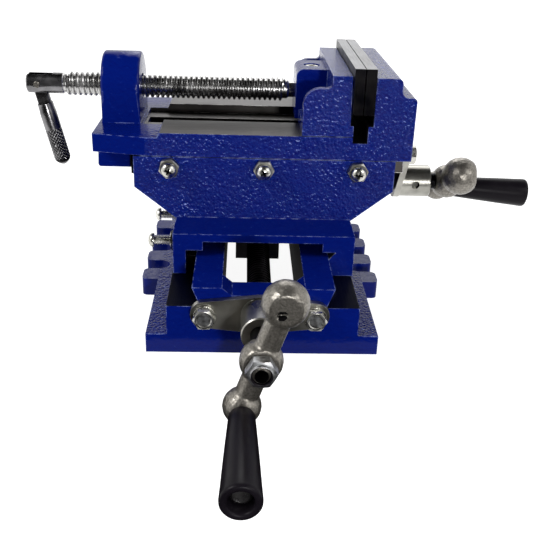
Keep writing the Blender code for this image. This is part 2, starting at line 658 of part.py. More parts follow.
def make_movable_jaw(paint):
    """Movable jaw casting: face wall, two cheeks, screw boss and the key in the bed channel."""
    half = BODY_DEPTH / 2
    rounding = MOVABLE_SHOULDER_ROUND
    outline = [(MOVABLE_LEFT, JAW_SEAT), (JAW_GROOVE_LEFT, JAW_SEAT), (JAW_GROOVE_LEFT, PLATE_POCKET_FLOOR)]
    outline += [(MOVABLE_SEAT, PLATE_POCKET_FLOOR), (MOVABLE_SEAT, JAW_TOP), (MOVABLE_STEP, JAW_TOP)]
    outline += arc((MOVABLE_STEP - 0.002, MOVABLE_SHOULDER + 0.002), 0.002, 0, -90, 2)
    outline += arc((MOVABLE_LEFT + rounding, MOVABLE_SHOULDER - rounding), rounding, 90, 180, 5)
    jaw = extrude("movable_jaw", outline, "Y", -half, half, paint)
    boss_half = BOSS_WIDTH / 2
    floor = JAW_SEAT + JAW_FOOT_HEIGHT
    for side in (-1, 1):
        inside = side * boss_half * 0.95
        outside = side * (half - CHEEK_THICKNESS)
        low = (MOVABLE_LEFT - 0.01, min(inside, outside), floor)
        high = (MOVABLE_STEP, max(inside, outside), LONG)
        cut(jaw, block("cutter", low, high, paint))
    root = JAW_SEAT + 0.001
    inner = MOVABLE_STEP + 0.001
    boss = [(BOSS_LEFT, root), (inner, root), (inner, BOSS_TOP)]
    boss += arc((BOSS_LEFT + BOSS_ROUND, BOSS_TOP - BOSS_ROUND), BOSS_ROUND, 90, 180, 4)
    join(jaw, extrude("tool", boss, "Y", -boss_half, boss_half, paint))
    lean_over = (half - MOVABLE_TOP_DEPTH / 2) / (JAW_TOP - JAW_SEAT)
    for vert in jaw.data.vertices:
        if abs(vert.co.y) > half - 1e-4:
            vert.co.y -= math.copysign(lean_over * (vert.co.z - JAW_SEAT), vert.co.y)
    key_half = CHANNEL_WIDTH / 2 - CLEARANCE
    low = (MOVABLE_LEFT + 0.001, -key_half, CHANNEL_FLOOR + CLEARANCE)
    join(jaw, block("tool", low, (JAW_GROOVE_LEFT - 0.002, key_half, floor - 0.001), paint))
    tongue = KEEPER_SLOT_WIDTH / 2 - CLEARANCE
    low = (MOVABLE_LEFT + 0.002, -tongue, KEEPER_POCKET_CEILING + CLEARANCE)
    join(jaw, block("tool", low, (JAW_GROOVE_LEFT - 0.004, tongue, floor - 0.002), paint))
    line = (0, 0, VISE_SCREW_HEIGHT)
    bore = VISE_SCREW_NECK + 2 * CLEARANCE
    cut(jaw, rod("cutter", bore, 0, MOVABLE_STEP - 0.003, line, (1, 0, 0), paint))
    spot = (NECK_SCREW_X, 0, VISE_SCREW_HEIGHT)
    cut(jaw, rod("cutter", NECK_SCREW_SHANK + 2 * CLEARANCE, 0, 0.05, spot, (0, 0, 1), paint, 16))
    recess = BOSS_TOP - VISE_SCREW_HEIGHT - NECK_SCREW_HEAD_SINK
    cut(jaw, rod("cutter", NECK_SCREW_HEAD + 2 * CLEARANCE, recess, 0.05, spot, (0, 0, 1), paint, 20))
    for side in (-1, 1):
        spot = (MOVABLE_SEAT, side * PLATE_SCREW_PITCH / 2, (PLATE_BOTTOM + PLATE_TOP) / 2)
        hole = PLATE_SCREW_DIAMETER + 2 * CLEARANCE
        depth = PLATE_SCREW_REACH + CLEARANCE
        cut(jaw, rod("cutter", hole, -0.003, depth, spot, (-1, 0, 0), paint, 16))
        across = (MOVABLE_LEFT + JAW_GROOVE_LEFT) / 2 + side * KEEPER_SCREW_PITCH / 2
        spot = (across, 0, KEEPER_POCKET_CEILING)
        hole = KEEPER_SCREW_DIAMETER + 2 * CLEARANCE
        cut(jaw, rod("cutter", hole, -0.003, 0.009, spot, (0, 0, 1), paint, 16))
    return jaw


def make_jaw_plate(name, seat, direction, material):
    """Hardened jaw plate with two countersunk screw holes; direction points at the work."""
    back = seat + direction * CLEARANCE
    face = back + direction * PLATE_THICKNESS
    half = PLATE_LENGTH / 2
    low = (min(back, face), -half, PLATE_BOTTOM)
    plate = block(name, low, (max(back, face), half, PLATE_TOP), material)
    shank = PLATE_SCREW_DIAMETER / 2 + CLEARANCE
    head = PLATE_SCREW_HEAD / 2 + CLEARANCE
    cone = PLATE_THICKNESS - PLATE_SCREW_CONE
    for side in (-1, 1):
        spot = (back, side * PLATE_SCREW_PITCH / 2, (PLATE_BOTTOM + PLATE_TOP) / 2)
        profile = [(-0.001, shank), (cone, shank), (PLATE_THICKNESS, head), (0.01, head)]
        cut(plate, turn("cutter", profile, spot, (direction, 0, 0), material, 16))
    return plate


def make_plate_screw(name, seat, direction, side, material):
    """Countersunk screw that holds a jaw plate."""
    back = seat + direction * CLEARANCE
    spot = (back, side * PLATE_SCREW_PITCH / 2, (PLATE_BOTTOM + PLATE_TOP) / 2)
    shank = PLATE_SCREW_DIAMETER / 2
    top = PLATE_THICKNESS - CLEARANCE
    head = PLATE_SCREW_HEAD / 2 - CLEARANCE
    profile = [(-PLATE_SCREW_REACH, shank), (PLATE_THICKNESS - PLATE_SCREW_CONE, shank), (top, head)]
    return turn(name, profile, spot, (direction, 0, 0), material, 16)


def make_keeper(steel, zinc):
    """Keeper plate under the bed and the two screws that hold it to the jaw's tongue."""
    middle = (MOVABLE_LEFT + JAW_GROOVE_LEFT) / 2
    top = KEEPER_POCKET_CEILING - CLEARANCE
    low = (MOVABLE_LEFT + 0.002, -KEEPER_WIDTH / 2, top - KEEPER_THICKNESS)
    plate = block("keeper_plate", low, (JAW_GROOVE_LEFT - 0.004, KEEPER_WIDTH / 2, top), steel)
    for side in (-1, 1):
        spot = (middle + side * KEEPER_SCREW_PITCH / 2, 0, top)
        hole = KEEPER_SCREW_DIAMETER + 2 * CLEARANCE
        cut(plate, rod("cutter", hole, -0.01, 0.01, spot, (0, 0, 1), steel, 16))
        under = -KEEPER_THICKNESS - CLEARANCE
        head = KEEPER_SCREW_HEAD / 2
        shank = KEEPER_SCREW_DIAMETER / 2
        profile = [(under - KEEPER_SCREW_HEAD_HEIGHT, head), (under, head), (under, shank), (0.0080, shank)]
        turn("keeper_screw_" + str((side + 3) // 2), profile, spot, (0, 0, 1), zinc, 16)
    return plate


def make_vise_screw(steel):
    """Vise screw: slotted head for the handle, threaded length and grooved neck in the jaw."""
    line = (0, 0, VISE_SCREW_HEIGHT)
    head = VISE_SCREW_HEAD_DIAMETER / 2
    radius = VISE_SCREW_DIAMETER / 2
    neck = VISE_SCREW_NECK / 2
    groove = VISE_SCREW_NECK_GROOVE / 2
    shoulder = BOSS_LEFT - 0.0035
    groove_half = NECK_SCREW_SHANK / 2 + CLEARANCE
    end = MOVABLE_STEP - 0.003 - CLEARANCE
    start = VISE_SCREW_HEAD_END
    profile = [(start, head - 0.0008), (start + 0.0008, head), (VISE_SCREW_THREAD_START - 0.0006, head)]
    profile += [(VISE_SCREW_THREAD_START, radius), (shoulder - 0.001, radius), (shoulder, neck)]
    profile += [(NECK_SCREW_X - groove_half, neck), (NECK_SCREW_X - groove_half, groove)]
    profile += [(NECK_SCREW_X + groove_half, groove), (NECK_SCREW_X + groove_half, neck), (end, neck)]
    screw = turn("vise_screw", profile, line, (1, 0, 0), steel)
    slot = HANDLE_SLOT_WIDTH / 2
    low = (start - 0.01, -slot, VISE_SCREW_HEIGHT - head * 2)
    high = (start + HANDLE_SLOT_LENGTH, slot, VISE_SCREW_HEIGHT + head * 2)
    cut(screw, block("cutter", low, high, steel))
    pivot = (HANDLE_PIVOT_X, 0, VISE_SCREW_HEIGHT)
    hole = HANDLE_PIN_DIAMETER + 2 * CLEARANCE
    return cut(screw, rod("cutter", hole, -0.02, 0.02, pivot, (0, 1, 0), steel, 16))


def make_handle(steel):
    """Folding handle: flat tongue on the pin, then a round knurled grip."""
    pivot = (HANDLE_PIVOT_X, 0, VISE_SCREW_HEIGHT)
    flat = HANDLE_TOP_WIDTH / 2
    grip = HANDLE_GRIP_DIAMETER / 2
    profile = [(-flat * 0.95, flat * 0.5), (-flat * 0.6, flat * 0.85), (0, flat), (0.0150, flat)]
    profile += [(0.0170, grip), (HANDLE_LENGTH - 0.0045, grip), (HANDLE_LENGTH - 0.0018, grip * 0.85)]
    profile += [(HANDLE_LENGTH - 0.0004, grip * 0.5), (HANDLE_LENGTH, 0)]
    handle = turn("swing_handle", profile, pivot, (0, 0, -1), steel, 20)
    tongue = HANDLE_SLOT_WIDTH / 2 - CLEARANCE
    for side in (-1, 1):
        near = side * tongue
        far = side * 0.02
        low = (HANDLE_PIVOT_X - 0.02, min(near, far), VISE_SCREW_HEIGHT - 0.0120)
        high = (HANDLE_PIVOT_X + 0.02, max(near, far), VISE_SCREW_HEIGHT + 0.02)
        cut(handle, block("cutter", low, high, steel))
    hole = HANDLE_PIN_DIAMETER + 2 * CLEARANCE
    cut(handle, rod("cutter", hole, -0.02, 0.02, pivot, (0, 1, 0), steel, 16))
    lean = Matrix.Rotation(math.radians(-HANDLE_LEAN), 4, "Y")
    place = Matrix.Translation(pivot) @ lean @ Matrix.Translation(-Vector(pivot))
    handle.data.transform(place)
    pin_half = VISE_SCREW_HEAD_DIAMETER / 2 - CLEARANCE
    rod("handle_pin", HANDLE_PIN_DIAMETER, -pin_half, pin_half, pivot, (0, 1, 0), steel, 16)
    return handle


def make_neck_screw(zinc):
    """Screw in the jaw's boss whose tip runs in the vise screw's groove."""
    spot = (NECK_SCREW_X, 0, VISE_SCREW_HEIGHT)
    shank = NECK_SCREW_SHANK / 2
    head = NECK_SCREW_HEAD / 2
    seat = BOSS_TOP - VISE_SCREW_HEIGHT - NECK_SCREW_HEAD_SINK + CLEARANCE
    tip = VISE_SCREW_NECK_GROOVE / 2 + CLEARANCE
    top = seat + NECK_SCREW_HEAD_HEIGHT
    profile = [(tip, shank * 0.8), (tip + 0.0005, shank), (seat, shank), (seat, head)]
    profile += [(top - 0.0006, head), (top, head * 0.82)]
    screw = turn("neck_screw", profile, spot, (0, 0, 1), zinc, 20)
    socket = NECK_SCREW_SOCKET / 2
    return cut(screw, turn("cutter", [(seat + 0.0014, socket), (0.05, socket)], spot, (0, 0, 1), zinc, 6))


def make_front_bracket(zinc):
    """Two-bolt bearing bracket on the base's front wall."""
    half = FRONT_BOLT_SPACING / 2
    level = LOWER_SCREW_HEIGHT
    middle = LOWER_SCREW_X
    lobes = [(middle - half, level, BRACKET_LOBE_RADIUS), (middle, level, BRACKET_CENTRE_RADIUS)]
    lobes += [(middle + half, level, BRACKET_LOBE_RADIUS)]
    far = FRONT_PLATE - BRACKET_THICKNESS
    bracket = extrude("front_bracket", wrap_circles(lobes), "Y", far, FRONT_PLATE, zinc)
    line = (middle, FRONT_PLATE, level)
    length = BRACKET_THICKNESS + FRONT_COLLAR_LENGTH
    join(bracket, rod("tool", COLLAR_DIAMETER, 0.0005, length, line, (0, -1, 0), zinc, chamfer=0.0006))
    bore = SCREW_JOURNAL + 2 * CLEARANCE
    cut(bracket, rod("cutter", bore, -0.01, length + 0.01, line, (0, -1, 0), zinc))
    for side in (-1, 1):
        spot = (middle + side * half, FRONT_PLATE, level)
        cut(bracket, rod("cutter", BOLT_DIAMETER + 3 * CLEARANCE, -0.01, 0.01, spot, (0, -1, 0), zinc, 16))
    return bracket


def make_side_bracket(zinc):
    """Bearing bracket that hangs from the body's right end and carries the upper screw."""
    half = SIDE_BOLT_SPACING / 2
    lobes = [(-half, SIDE_BOLT_HEIGHT, BRACKET_LOBE_RADIUS), (half, SIDE_BOLT_HEIGHT, BRACKET_LOBE_RADIUS)]
    lobes += [(0, UPPER_SCREW_HEIGHT, BRACKET_CENTRE_RADIUS)]
    far = SIDE_PLATE + BRACKET_THICKNESS
    bracket = extrude("side_bracket", wrap_circles(lobes), "X", SIDE_PLATE, far, zinc)
    line = (SIDE_PLATE, 0, UPPER_SCREW_HEIGHT)
    length = BRACKET_THICKNESS + SIDE_COLLAR_LENGTH
    join(bracket, rod("tool", COLLAR_DIAMETER, 0.0005, length, line, (1, 0, 0), zinc, chamfer=0.0006))
    bore = SCREW_JOURNAL + 2 * CLEARANCE
    cut(bracket, rod("cutter", bore, -0.01, length + 0.01, line, (1, 0, 0), zinc))
    oil_hole = (far + SIDE_COLLAR_LENGTH * OIL_HOLE_PLACE, 0, UPPER_SCREW_HEIGHT)
    cut(bracket, rod("cutter", OIL_HOLE_DIAMETER, 0.0060, 0.03, oil_hole, (0, -1, 0), zinc, 16))
    for side in (-1, 1):
        spot = (SIDE_PLATE, side * half, SIDE_BOLT_HEIGHT)
        cut(bracket, rod("cutter", BOLT_DIAMETER + 3 * CLEARANCE, -0.01, 0.01, spot, (1, 0, 0), zinc, 16))
    return bracket


def make_bolts(prefix, plane_spot, spread, direction, washers, zinc):
    """Hexagon bolts for a bracket, with washers under their heads where it has them."""
    for side in (-1, 1):
        label = str((side + 3) // 2)
        spot = Vector(plane_spot) + side * Vector(spread)
        under = BRACKET_THICKNESS + CLEARANCE
        if washers:
            top = under + WASHER_THICKNESS
            name = prefix + "_washer_" + label
            washer = rod(name, WASHER_DIAMETER, under, top, spot, direction, zinc, 20)
            hole = BOLT_DIAMETER + 2 * CLEARANCE
            cut(washer, rod("cutter", hole, -0.01, 0.02, spot, direction, zinc, 16))
            under = top + CLEARANCE
        name = prefix + "_bolt_" + label
        top = under + BOLT_HEAD_HEIGHT
        bolt = hexagon(name, BOLT_FLATS, under, top, spot, direction, zinc)
        shank_end = -BOLT_GRIP + 3 * CLEARANCE
        join(bolt, rod("tool", BOLT_DIAMETER, shank_end, under + 0.001, spot, direction, zinc, 16))


def make_lead_screw(name, line_point, direction, far_end, shoulder, journal_end, steel):
    """Lead screw: threaded length, shoulder, journal through the bracket and crank hub."""
    radius = LEAD_SCREW_DIAMETER / 2
    journal = SCREW_JOURNAL / 2
    stud = journal * 0.8
    centre = journal_end - CRANK_NUT_HEIGHT + CRANK_HUB_FLAT - CRANK_HUB_RADIUS
    hub = centre - CRANK_HUB_RADIUS + CRANK_HUB_SEAT - CLEARANCE
    profile = [(far_end, radius - 0.0015), (far_end + 0.0015, radius), (shoulder, radius)]
    profile += [(shoulder, journal), (hub, journal), (hub, stud)]
    profile += [(journal_end - 0.0008, stud), (journal_end, stud - 0.0008)]
    return turn(name, profile, line_point, direction, steel)


def crank_profile():
    """Outline of the ball crank along its arm: weight ball, arm, hub ball, arm, grip ball."""
    arm = CRANK_ARM_DIAMETER / 2
    weight_cut = math.sqrt(CRANK_WEIGHT_RADIUS ** 2 - arm ** 2)
    hub_cut = math.sqrt(CRANK_HUB_RADIUS ** 2 - arm ** 2)
    grip_cut = math.sqrt(CRANK_GRIP_BALL_RADIUS ** 2 - arm ** 2)
    profile = []
    for along, radius in ball_profile(CRANK_WEIGHT_RADIUS, CRANK_WEIGHT_RADIUS, -weight_cut, BALL_STEPS):
        profile.append((CRANK_WEIGHT_REACH + along, radius))
    profile += ball_profile(CRANK_HUB_RADIUS, hub_cut, -hub_cut, BALL_STEPS - 2)
    ball = CRANK_GRIP_BALL_RADIUS
    for along, radius in ball_profile(ball, grip_cut, -ball, BALL_STEPS):
        profile.append((-CRANK_GRIP_REACH + along, radius))
    profile[0] = (profile[0][0], 0)
    profile[-1] = (profile[-1][0], 0)
    return profile


def make_crank(name, hub, outward, arm, grip_axis, material):
    """Three-ball crank: a flat on the weight ball, two on the hub, bores for screw and grip."""
    hub = Vector(hub)
    outward = Vector(outward)
    arm = Vector(arm).normalized()
    crank = turn(name, crank_profile(), hub, arm, material, 20)
    weight = hub + arm * CRANK_WEIGHT_REACH
    grip_ball = hub - arm * CRANK_GRIP_REACH
    flat = CRANK_WEIGHT_RADIUS - CRANK_FLAT_DEPTH
    wide = CRANK_WEIGHT_RADIUS * 2.1
    cut(crank, rod("cutter", wide, flat, 0.02, weight, outward, material))
    wide = CRANK_HUB_RADIUS * 1.8
    cut(crank, rod("cutter", wide, CRANK_HUB_RADIUS - CRANK_HUB_FLAT, 0.02, hub, outward, material))
    cut(crank, rod("cutter", wide, CRANK_HUB_RADIUS - CRANK_HUB_SEAT, 0.02, hub, -outward, material))
    stud = SCREW_JOURNAL * 0.8 + 2 * CLEARANCE
    cut(crank, rod("cutter", stud, -0.03, 0.03, hub, outward, material, 20))
    spindle = SPINDLE_DIAMETER + 2 * CLEARANCE
    cut(crank, rod("cutter", spindle, -0.03, 0.03, grip_ball, grip_axis, material, 20))
    return crank


def make_crank_nut(name, hub, outward, material):
    """Nylon insert lock nut that holds the crank on its screw."""
    start = CRANK_HUB_RADIUS - CRANK_HUB_FLAT + CLEARANCE
    nut = hexagon(name, CRANK_NUT_FLATS, start, start + CRANK_NUT_HEIGHT * 0.72, hub, outward, material)
    top = start + CRANK_NUT_HEIGHT
    collar = CRANK_NUT_COLLAR / 2
    ring = [(start + 0.001, collar), (top - 0.0010, collar), (top, CRANK_NUT_MOUTH / 2)]
    join(nut, turn("tool", ring, hub, outward, material))
    hole = SCREW_JOURNAL * 0.8 + 2 * CLEARANCE
    return cut(nut, rod("cutter", hole, -0.01, 0.03, hub, outward, material, 20))


def make_grip(prefix, centre, outward, length, plastic, steel):
    """Tapered hand grip turning freely on its headed spindle."""
    start = CRANK_GRIP_BALL_RADIUS * 0.92 + CLEARANCE
    end = start + length
    first = GRIP_START_DIAMETER / 2
    last = GRIP_END_DIAMETER / 2
    profile = [(start, first - 0.0008), (start + 0.0008, first), (end - 0.0016, last), (end, last - 0.0012)]
    grip = turn(prefix + "_grip", profile, centre, outward, plastic, 24)
    recess = end - GRIP_RECESS_DEPTH
    bore = [(0, GRIP_BORE / 2), (recess, GRIP_BORE / 2), (recess, GRIP_RECESS_DIAMETER / 2)]
    bore += [(end + 0.01, GRIP_RECESS_DIAMETER / 2)]
    cut(grip, turn("cutter", bore, centre, outward, plastic, 20))
    shank = SPINDLE_DIAMETER / 2
    head = SPINDLE_HEAD_DIAMETER / 2
    seat = recess + CLEARANCE
    spindle = [(-CRANK_GRIP_BALL_RADIUS, shank - 0.0006), (-CRANK_GRIP_BALL_RADIUS + 0.0006, shank)]
    spindle += [(seat, shank), (seat, head), (seat + 0.0022, head), (seat + 0.0030, head * 0.75)]
    turn(prefix + "_grip_spindle", spindle, centre, outward, steel, 20)
    return grip


def make_lower_nut(material):
    """Nut block under the saddle with a flange screwed to the saddle's web."""
    half_x = LOWER_NUT_WIDTH / 2
    half_y = LOWER_NUT_LENGTH / 2
    flange = LOWER_NUT_FLANGE_LENGTH / 2
    top = LOWER_RELIEF_HEIGHT - CLEARANCE
    under = top - LOWER_NUT_FLANGE_HEIGHT
    outline = [(half_y, LOWER_NUT_BOTTOM), (half_y, under), (flange, under), (flange, top)]
    left = LOWER_SCREW_X - half_x
    nut = extrude("lower_nut", mirrored(outline), "X", left, left + LOWER_NUT_WIDTH, material)
    line = (LOWER_SCREW_X, 0, LOWER_SCREW_HEIGHT)
    bore = LEAD_SCREW_DIAMETER + 2 * CLEARANCE
    cut(nut, rod("cutter", bore, -0.05, 0.05, line, (0, 1, 0), material))
    for side in (-1, 1):
        spot = (LOWER_SCREW_X, side * LOWER_NUT_SCREW_PITCH / 2, top)
        hole = LOWER_NUT_SCREW_DIAMETER + 2 * CLEARANCE
        cut(nut, rod("cutter", hole, -0.05, 0.01, spot, (0, 0, 1), material, 16))
        under = -LOWER_NUT_FLANGE_HEIGHT - CLEARANCE
        head = LOWER_NUT_SCREW_HEAD / 2
        shank = LOWER_NUT_SCREW_DIAMETER / 2
        profile = [(under - LOWER_NUT_SCREW_HEAD_HEIGHT, head), (under, head)]
        profile += [(under, shank), (0.0080, shank)]
        turn("lower_nut_screw_" + str((side + 3) // 2), profile, spot, (0, 0, 1), material, 16)
    return nut


def make_upper_nut(material):
    """Nut block keyed in the saddle's trough."""
    half_x = UPPER_NUT_LENGTH / 2
    half_y = UPPER_NUT_WIDTH / 2
    low = (-half_x, -half_y, TROUGH_FLOOR + CLEARANCE)
    nut = block("upper_nut", low, (half_x, half_y, UPPER_SLOT_FLOOR - CLEARANCE), material)
    line = (0, 0, UPPER_SCREW_HEIGHT)
    bore = LEAD_SCREW_DIAMETER + 2 * CLEARANCE
    return cut(nut, rod("cutter", bore, -0.05, 0.05, line, (1, 0, 0), material))


def smooth(obj):
    """Smooth the turned sides, keep the machined edges sharp."""
    obj.data.shade_smooth()
    obj.data.set_sharp_from_angle(angle=math.radians(32))


def joint_marker(name, spot):
    """Empty on a joint's axis."""
    marker = bpy.data.objects.new(name, None)
    marker.location = spot
    marker.empty_display_size = 0.01
    bpy.context.scene.collection.objects.link(marker)


def build():
    """Make every piece of the vise in its closed, centred position."""
    for obj in list(bpy.data.objects):
        bpy.data.objects.remove(obj)
    paint = finish("blue_paint", PAINT_BLUE, 0.35, 0.0)
    zinc = finish("zinc_plate", ZINC, 0.25, 1.0)
    oxide = finish("black_oxide", BLACK_OXIDE, 0.45, 0.6)
    cast = finish("cast_grey", CAST_GREY, 0.45, 0.8)
    plastic = finish("black_plastic", BLACK_PLASTIC, 0.55, 0.0)
    bright = finish("bright_steel", BRIGHT_STEEL, 0.3, 1.0)
    machined = finish("machined_grey", MACHINED_GREY, 0.4, 0.8)

    make_base(paint)
    make_front_bracket(zinc)
    front_face = (LOWER_SCREW_X, FRONT_PLATE, LOWER_SCREW_HEIGHT)
    make_bolts("front_bracket", front_face, (FRONT_BOLT_SPACING / 2, 0, 0), (0, -1, 0), True, zinc)

    make_saddle(paint)
    make_lower_gib(oxide)
    make_upper_gib(oxide)
    make_gib_fixings(zinc)
    make_lower_nut(oxide)
    make_upper_nut(oxide)

    make_vise_body(paint)
    make_jaw_plate("fixed_jaw_plate", FIXED_SEAT, -1, oxide)
    make_side_bracket(zinc)
    side_face = (SIDE_PLATE, 0, SIDE_BOLT_HEIGHT)
    make_bolts("side_bracket", side_face, (0, SIDE_BOLT_SPACING / 2, 0), (1, 0, 0), False, zinc)

    make_movable_jaw(paint)
    make_jaw_plate("movable_jaw_plate", MOVABLE_SEAT, 1, oxide)
    for side in (-1, 1):
        label = str((side + 3) // 2)
        make_plate_screw("fixed_plate_screw_" + label, FIXED_SEAT, -1, side, oxide)
        make_plate_screw("movable_plate_screw_" + label, MOVABLE_SEAT, 1, side, oxide)
    make_keeper(machined, zinc)
    make_neck_screw(zinc)
    make_vise_screw(bright)
    make_handle(bright)

    lower_line = (LOWER_SCREW_X, FRONT_PLATE, LOWER_SCREW_HEIGHT)
    front_reach = FRONT_PLATE - FRONT_CRANK_Y + CRANK_HUB_RADIUS - CRANK_HUB_FLAT + CRANK_NUT_HEIGHT
    rear = FRONT_PLATE - LOWER_SCREW_REAR
    make_lead_screw("front_lead_screw", lower_line, (0, -1, 0), rear, -CLEARANCE, front_reach, oxide)
    upper_line = (SIDE_PLATE, 0, UPPER_SCREW_HEIGHT)
    side_reach = SIDE_CRANK_X - SIDE_PLATE + CRANK_HUB_RADIUS - CRANK_HUB_FLAT + CRANK_NUT_HEIGHT
    left = UPPER_SCREW_LEFT - SIDE_PLATE
    make_lead_screw("side_lead_screw", upper_line, (1, 0, 0), left, -CLEARANCE, side_reach, oxide)

    lean = math.radians(FRONT_CRANK_LEAN)
    arm = Vector((math.sin(lean), 0, math.cos(lean)))
    hub = Vector((LOWER_SCREW_X, FRONT_CRANK_Y, LOWER_SCREW_HEIGHT))
    make_crank("front_crank", hub, (0, -1, 0), arm, (0, -1, 0), cast)
    make_crank_nut("front_crank_nut", hub, (0, -1, 0), zinc)
    front_ball = hub - arm * CRANK_GRIP_REACH
    make_grip("front", front_ball, (0, -1, 0), FRONT_GRIP_LENGTH, plastic, bright)
    lean = math.radians(SIDE_CRANK_LEAN)
    arm = Vector((0, -math.cos(lean), math.sin(lean)))
    hub = Vector((SIDE_CRANK_X, 0, UPPER_SCREW_HEIGHT))
    droop = math.radians(SIDE_GRIP_DROOP)
    grip_axis = (math.cos(droop), 0, -math.sin(droop))
    make_crank("side_crank", hub, (1, 0, 0), arm, grip_axis, cast)
    make_crank_nut("side_crank_nut", hub, (1, 0, 0), zinc)
    side_ball = hub - arm * CRANK_GRIP_REACH
    make_grip("side", side_ball, grip_axis, SIDE_GRIP_LENGTH, plastic, bright)

    for obj in bpy.data.objects:
        if obj.type == "MESH":
            smooth(obj)
    joint_marker("front_crank_axis", (LOWER_SCREW_X, FRONT_CRANK_Y, LOWER_SCREW_HEIGHT))
    joint_marker("side_crank_axis", (SIDE_CRANK_X, 0, UPPER_SCREW_HEIGHT))
    joint_marker("vise_screw_axis", (BODY_LEFT, 0, VISE_SCREW_HEIGHT))
    joint_marker("handle_axis", (HANDLE_PIVOT_X, 0, VISE_SCREW_HEIGHT))
    joint_marker("front_grip_axis", front_ball)
    joint_marker("side_grip_axis", side_ball)


build()
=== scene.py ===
# %% [markdown]
# Cross slide vise: a jaw bed on two crossed slides, as used on a drill press table.
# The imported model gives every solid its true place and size. This script keeps those places and gives
# each piece its finish: painted sand castings, turned cranks, cut threads, plated fasteners.
# The frame is loaded first, because every later step asks it where a piece sits.

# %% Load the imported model
import json
import math

import bmesh
import bpy
from mathutils import Matrix, Vector

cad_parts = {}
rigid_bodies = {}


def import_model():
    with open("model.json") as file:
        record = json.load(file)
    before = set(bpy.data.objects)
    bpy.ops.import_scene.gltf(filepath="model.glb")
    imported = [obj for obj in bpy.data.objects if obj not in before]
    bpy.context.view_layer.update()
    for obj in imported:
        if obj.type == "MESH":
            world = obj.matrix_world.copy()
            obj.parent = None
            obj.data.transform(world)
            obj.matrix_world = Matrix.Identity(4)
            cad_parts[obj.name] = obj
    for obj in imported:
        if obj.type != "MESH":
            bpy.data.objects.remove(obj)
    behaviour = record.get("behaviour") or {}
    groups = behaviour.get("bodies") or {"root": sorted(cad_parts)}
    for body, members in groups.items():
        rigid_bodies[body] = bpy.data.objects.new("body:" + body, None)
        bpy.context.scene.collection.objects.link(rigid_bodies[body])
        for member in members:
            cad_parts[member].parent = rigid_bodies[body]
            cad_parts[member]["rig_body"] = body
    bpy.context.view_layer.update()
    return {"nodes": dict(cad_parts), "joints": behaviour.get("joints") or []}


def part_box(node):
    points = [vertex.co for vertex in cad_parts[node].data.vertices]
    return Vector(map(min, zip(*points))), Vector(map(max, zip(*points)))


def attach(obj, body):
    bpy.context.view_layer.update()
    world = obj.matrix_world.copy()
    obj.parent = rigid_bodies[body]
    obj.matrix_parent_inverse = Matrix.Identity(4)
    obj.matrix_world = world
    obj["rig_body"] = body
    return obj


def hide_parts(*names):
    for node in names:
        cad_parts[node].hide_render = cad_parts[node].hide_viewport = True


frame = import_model()
nodes = frame["nodes"]
scene = bpy.context.scene
MM = 0.001

# %% [markdown]
# The camera stands in front of the vise and a little above it, looking down by 25 degrees. It could be
# aimed with a constraint, but a matrix built from its yaw, pitch and roll says exactly what it does.

# %% Camera
CAMERA_SPOT = Vector((-0.0115, -0.4721, 0.2136))
FOCAL_PIXELS, PICTURE_PIXELS, SENSOR_MM = 797.2, 550, 36
yaw, pitch, roll = math.radians(2.68), math.radians(25.11), math.radians(2.08)
ahead = Vector((math.sin(yaw) * math.cos(pitch), math.cos(yaw) * math.cos(pitch), -math.sin(pitch)))
level = Vector((math.cos(yaw), -math.sin(yaw), 0))
upright = level.cross(ahead)
across = level * math.cos(roll) + upright * math.sin(roll)
above = upright * math.cos(roll) - level * math.sin(roll)
camera = bpy.data.objects.new("camera", bpy.data.cameras.new("camera"))
scene.collection.objects.link(camera)
pose = Matrix((across, above, -ahead)).transposed().to_4x4()
pose.translation = CAMERA_SPOT
camera.matrix_world = pose
camera.data.sensor_width = SENSOR_MM
camera.data.lens = FOCAL_PIXELS / PICTURE_PIXELS * SENSOR_MM
camera.data.clip_start = 0.01
scene.camera = camera
scene.view_settings.view_transform = "Standard"
print("camera lens:", round(camera.data.lens, 1), "mm")

# %% [markdown]
# Materials are trees of nodes. One helper adds a node, sets its options and joins its inputs, so that each
# material below reads as a list of what feeds what.

# %% Helpers for materials


def place(tree, kind, inputs=None, **options):
    """Add a shader node; an input is a value or another node's output."""
    node = tree.nodes.new("ShaderNode" + kind)
    for name, value in options.items():
        setattr(node, name, value)
    for name, value in (inputs or {}).items():
        if isinstance(value, bpy.types.NodeSocket):
            tree.links.new(value, node.inputs[name])
        else:
            node.inputs[name].default_value = value
    return node


def new_material(name):
    """An empty node material and its tree."""
    material = bpy.data.materials.new(name)
    material.use_nodes = True
    material.node_tree.nodes.clear()
    return material, material.node_tree


def finish_material(tree, **inputs):
    """Add the Principled shader and the output; sockets are named in words joined by underscores."""
    named = {name.replace("_", " "): value for name, value in inputs.items()}
    shader = place(tree, "BsdfPrincipled", named)
    place(tree, "OutputMaterial", {"Surface": shader.outputs[0]})


def blend_colour(tree, amount, first, second):
    """Mix two colours by an amount that changes over the surface."""
    mix = place(tree, "Mix", data_type="RGBA")
    for socket, value in ((0, amount), (6, first), (7, second)):
        if isinstance(value, bpy.types.NodeSocket):
            tree.links.new(value, mix.inputs[socket])
        else:
            mix.inputs[socket].default_value = value
    return mix.outputs[2]


def remap(tree, value, low, high, to_low=0.0, to_high=1.0):
    """Stretch a value from one range to another."""
    node = place(tree, "MapRange", {0: value, 1: low, 2: high, 3: to_low, 4: to_high})
    return node.outputs[0]


def maths(tree, operation, first, second):
    """Join two values by an operation such as MULTIPLY."""
    node = place(tree, "Math", {0: first, 1: second}, operation=operation)
    return node.outputs[0]


print("material helpers ready")

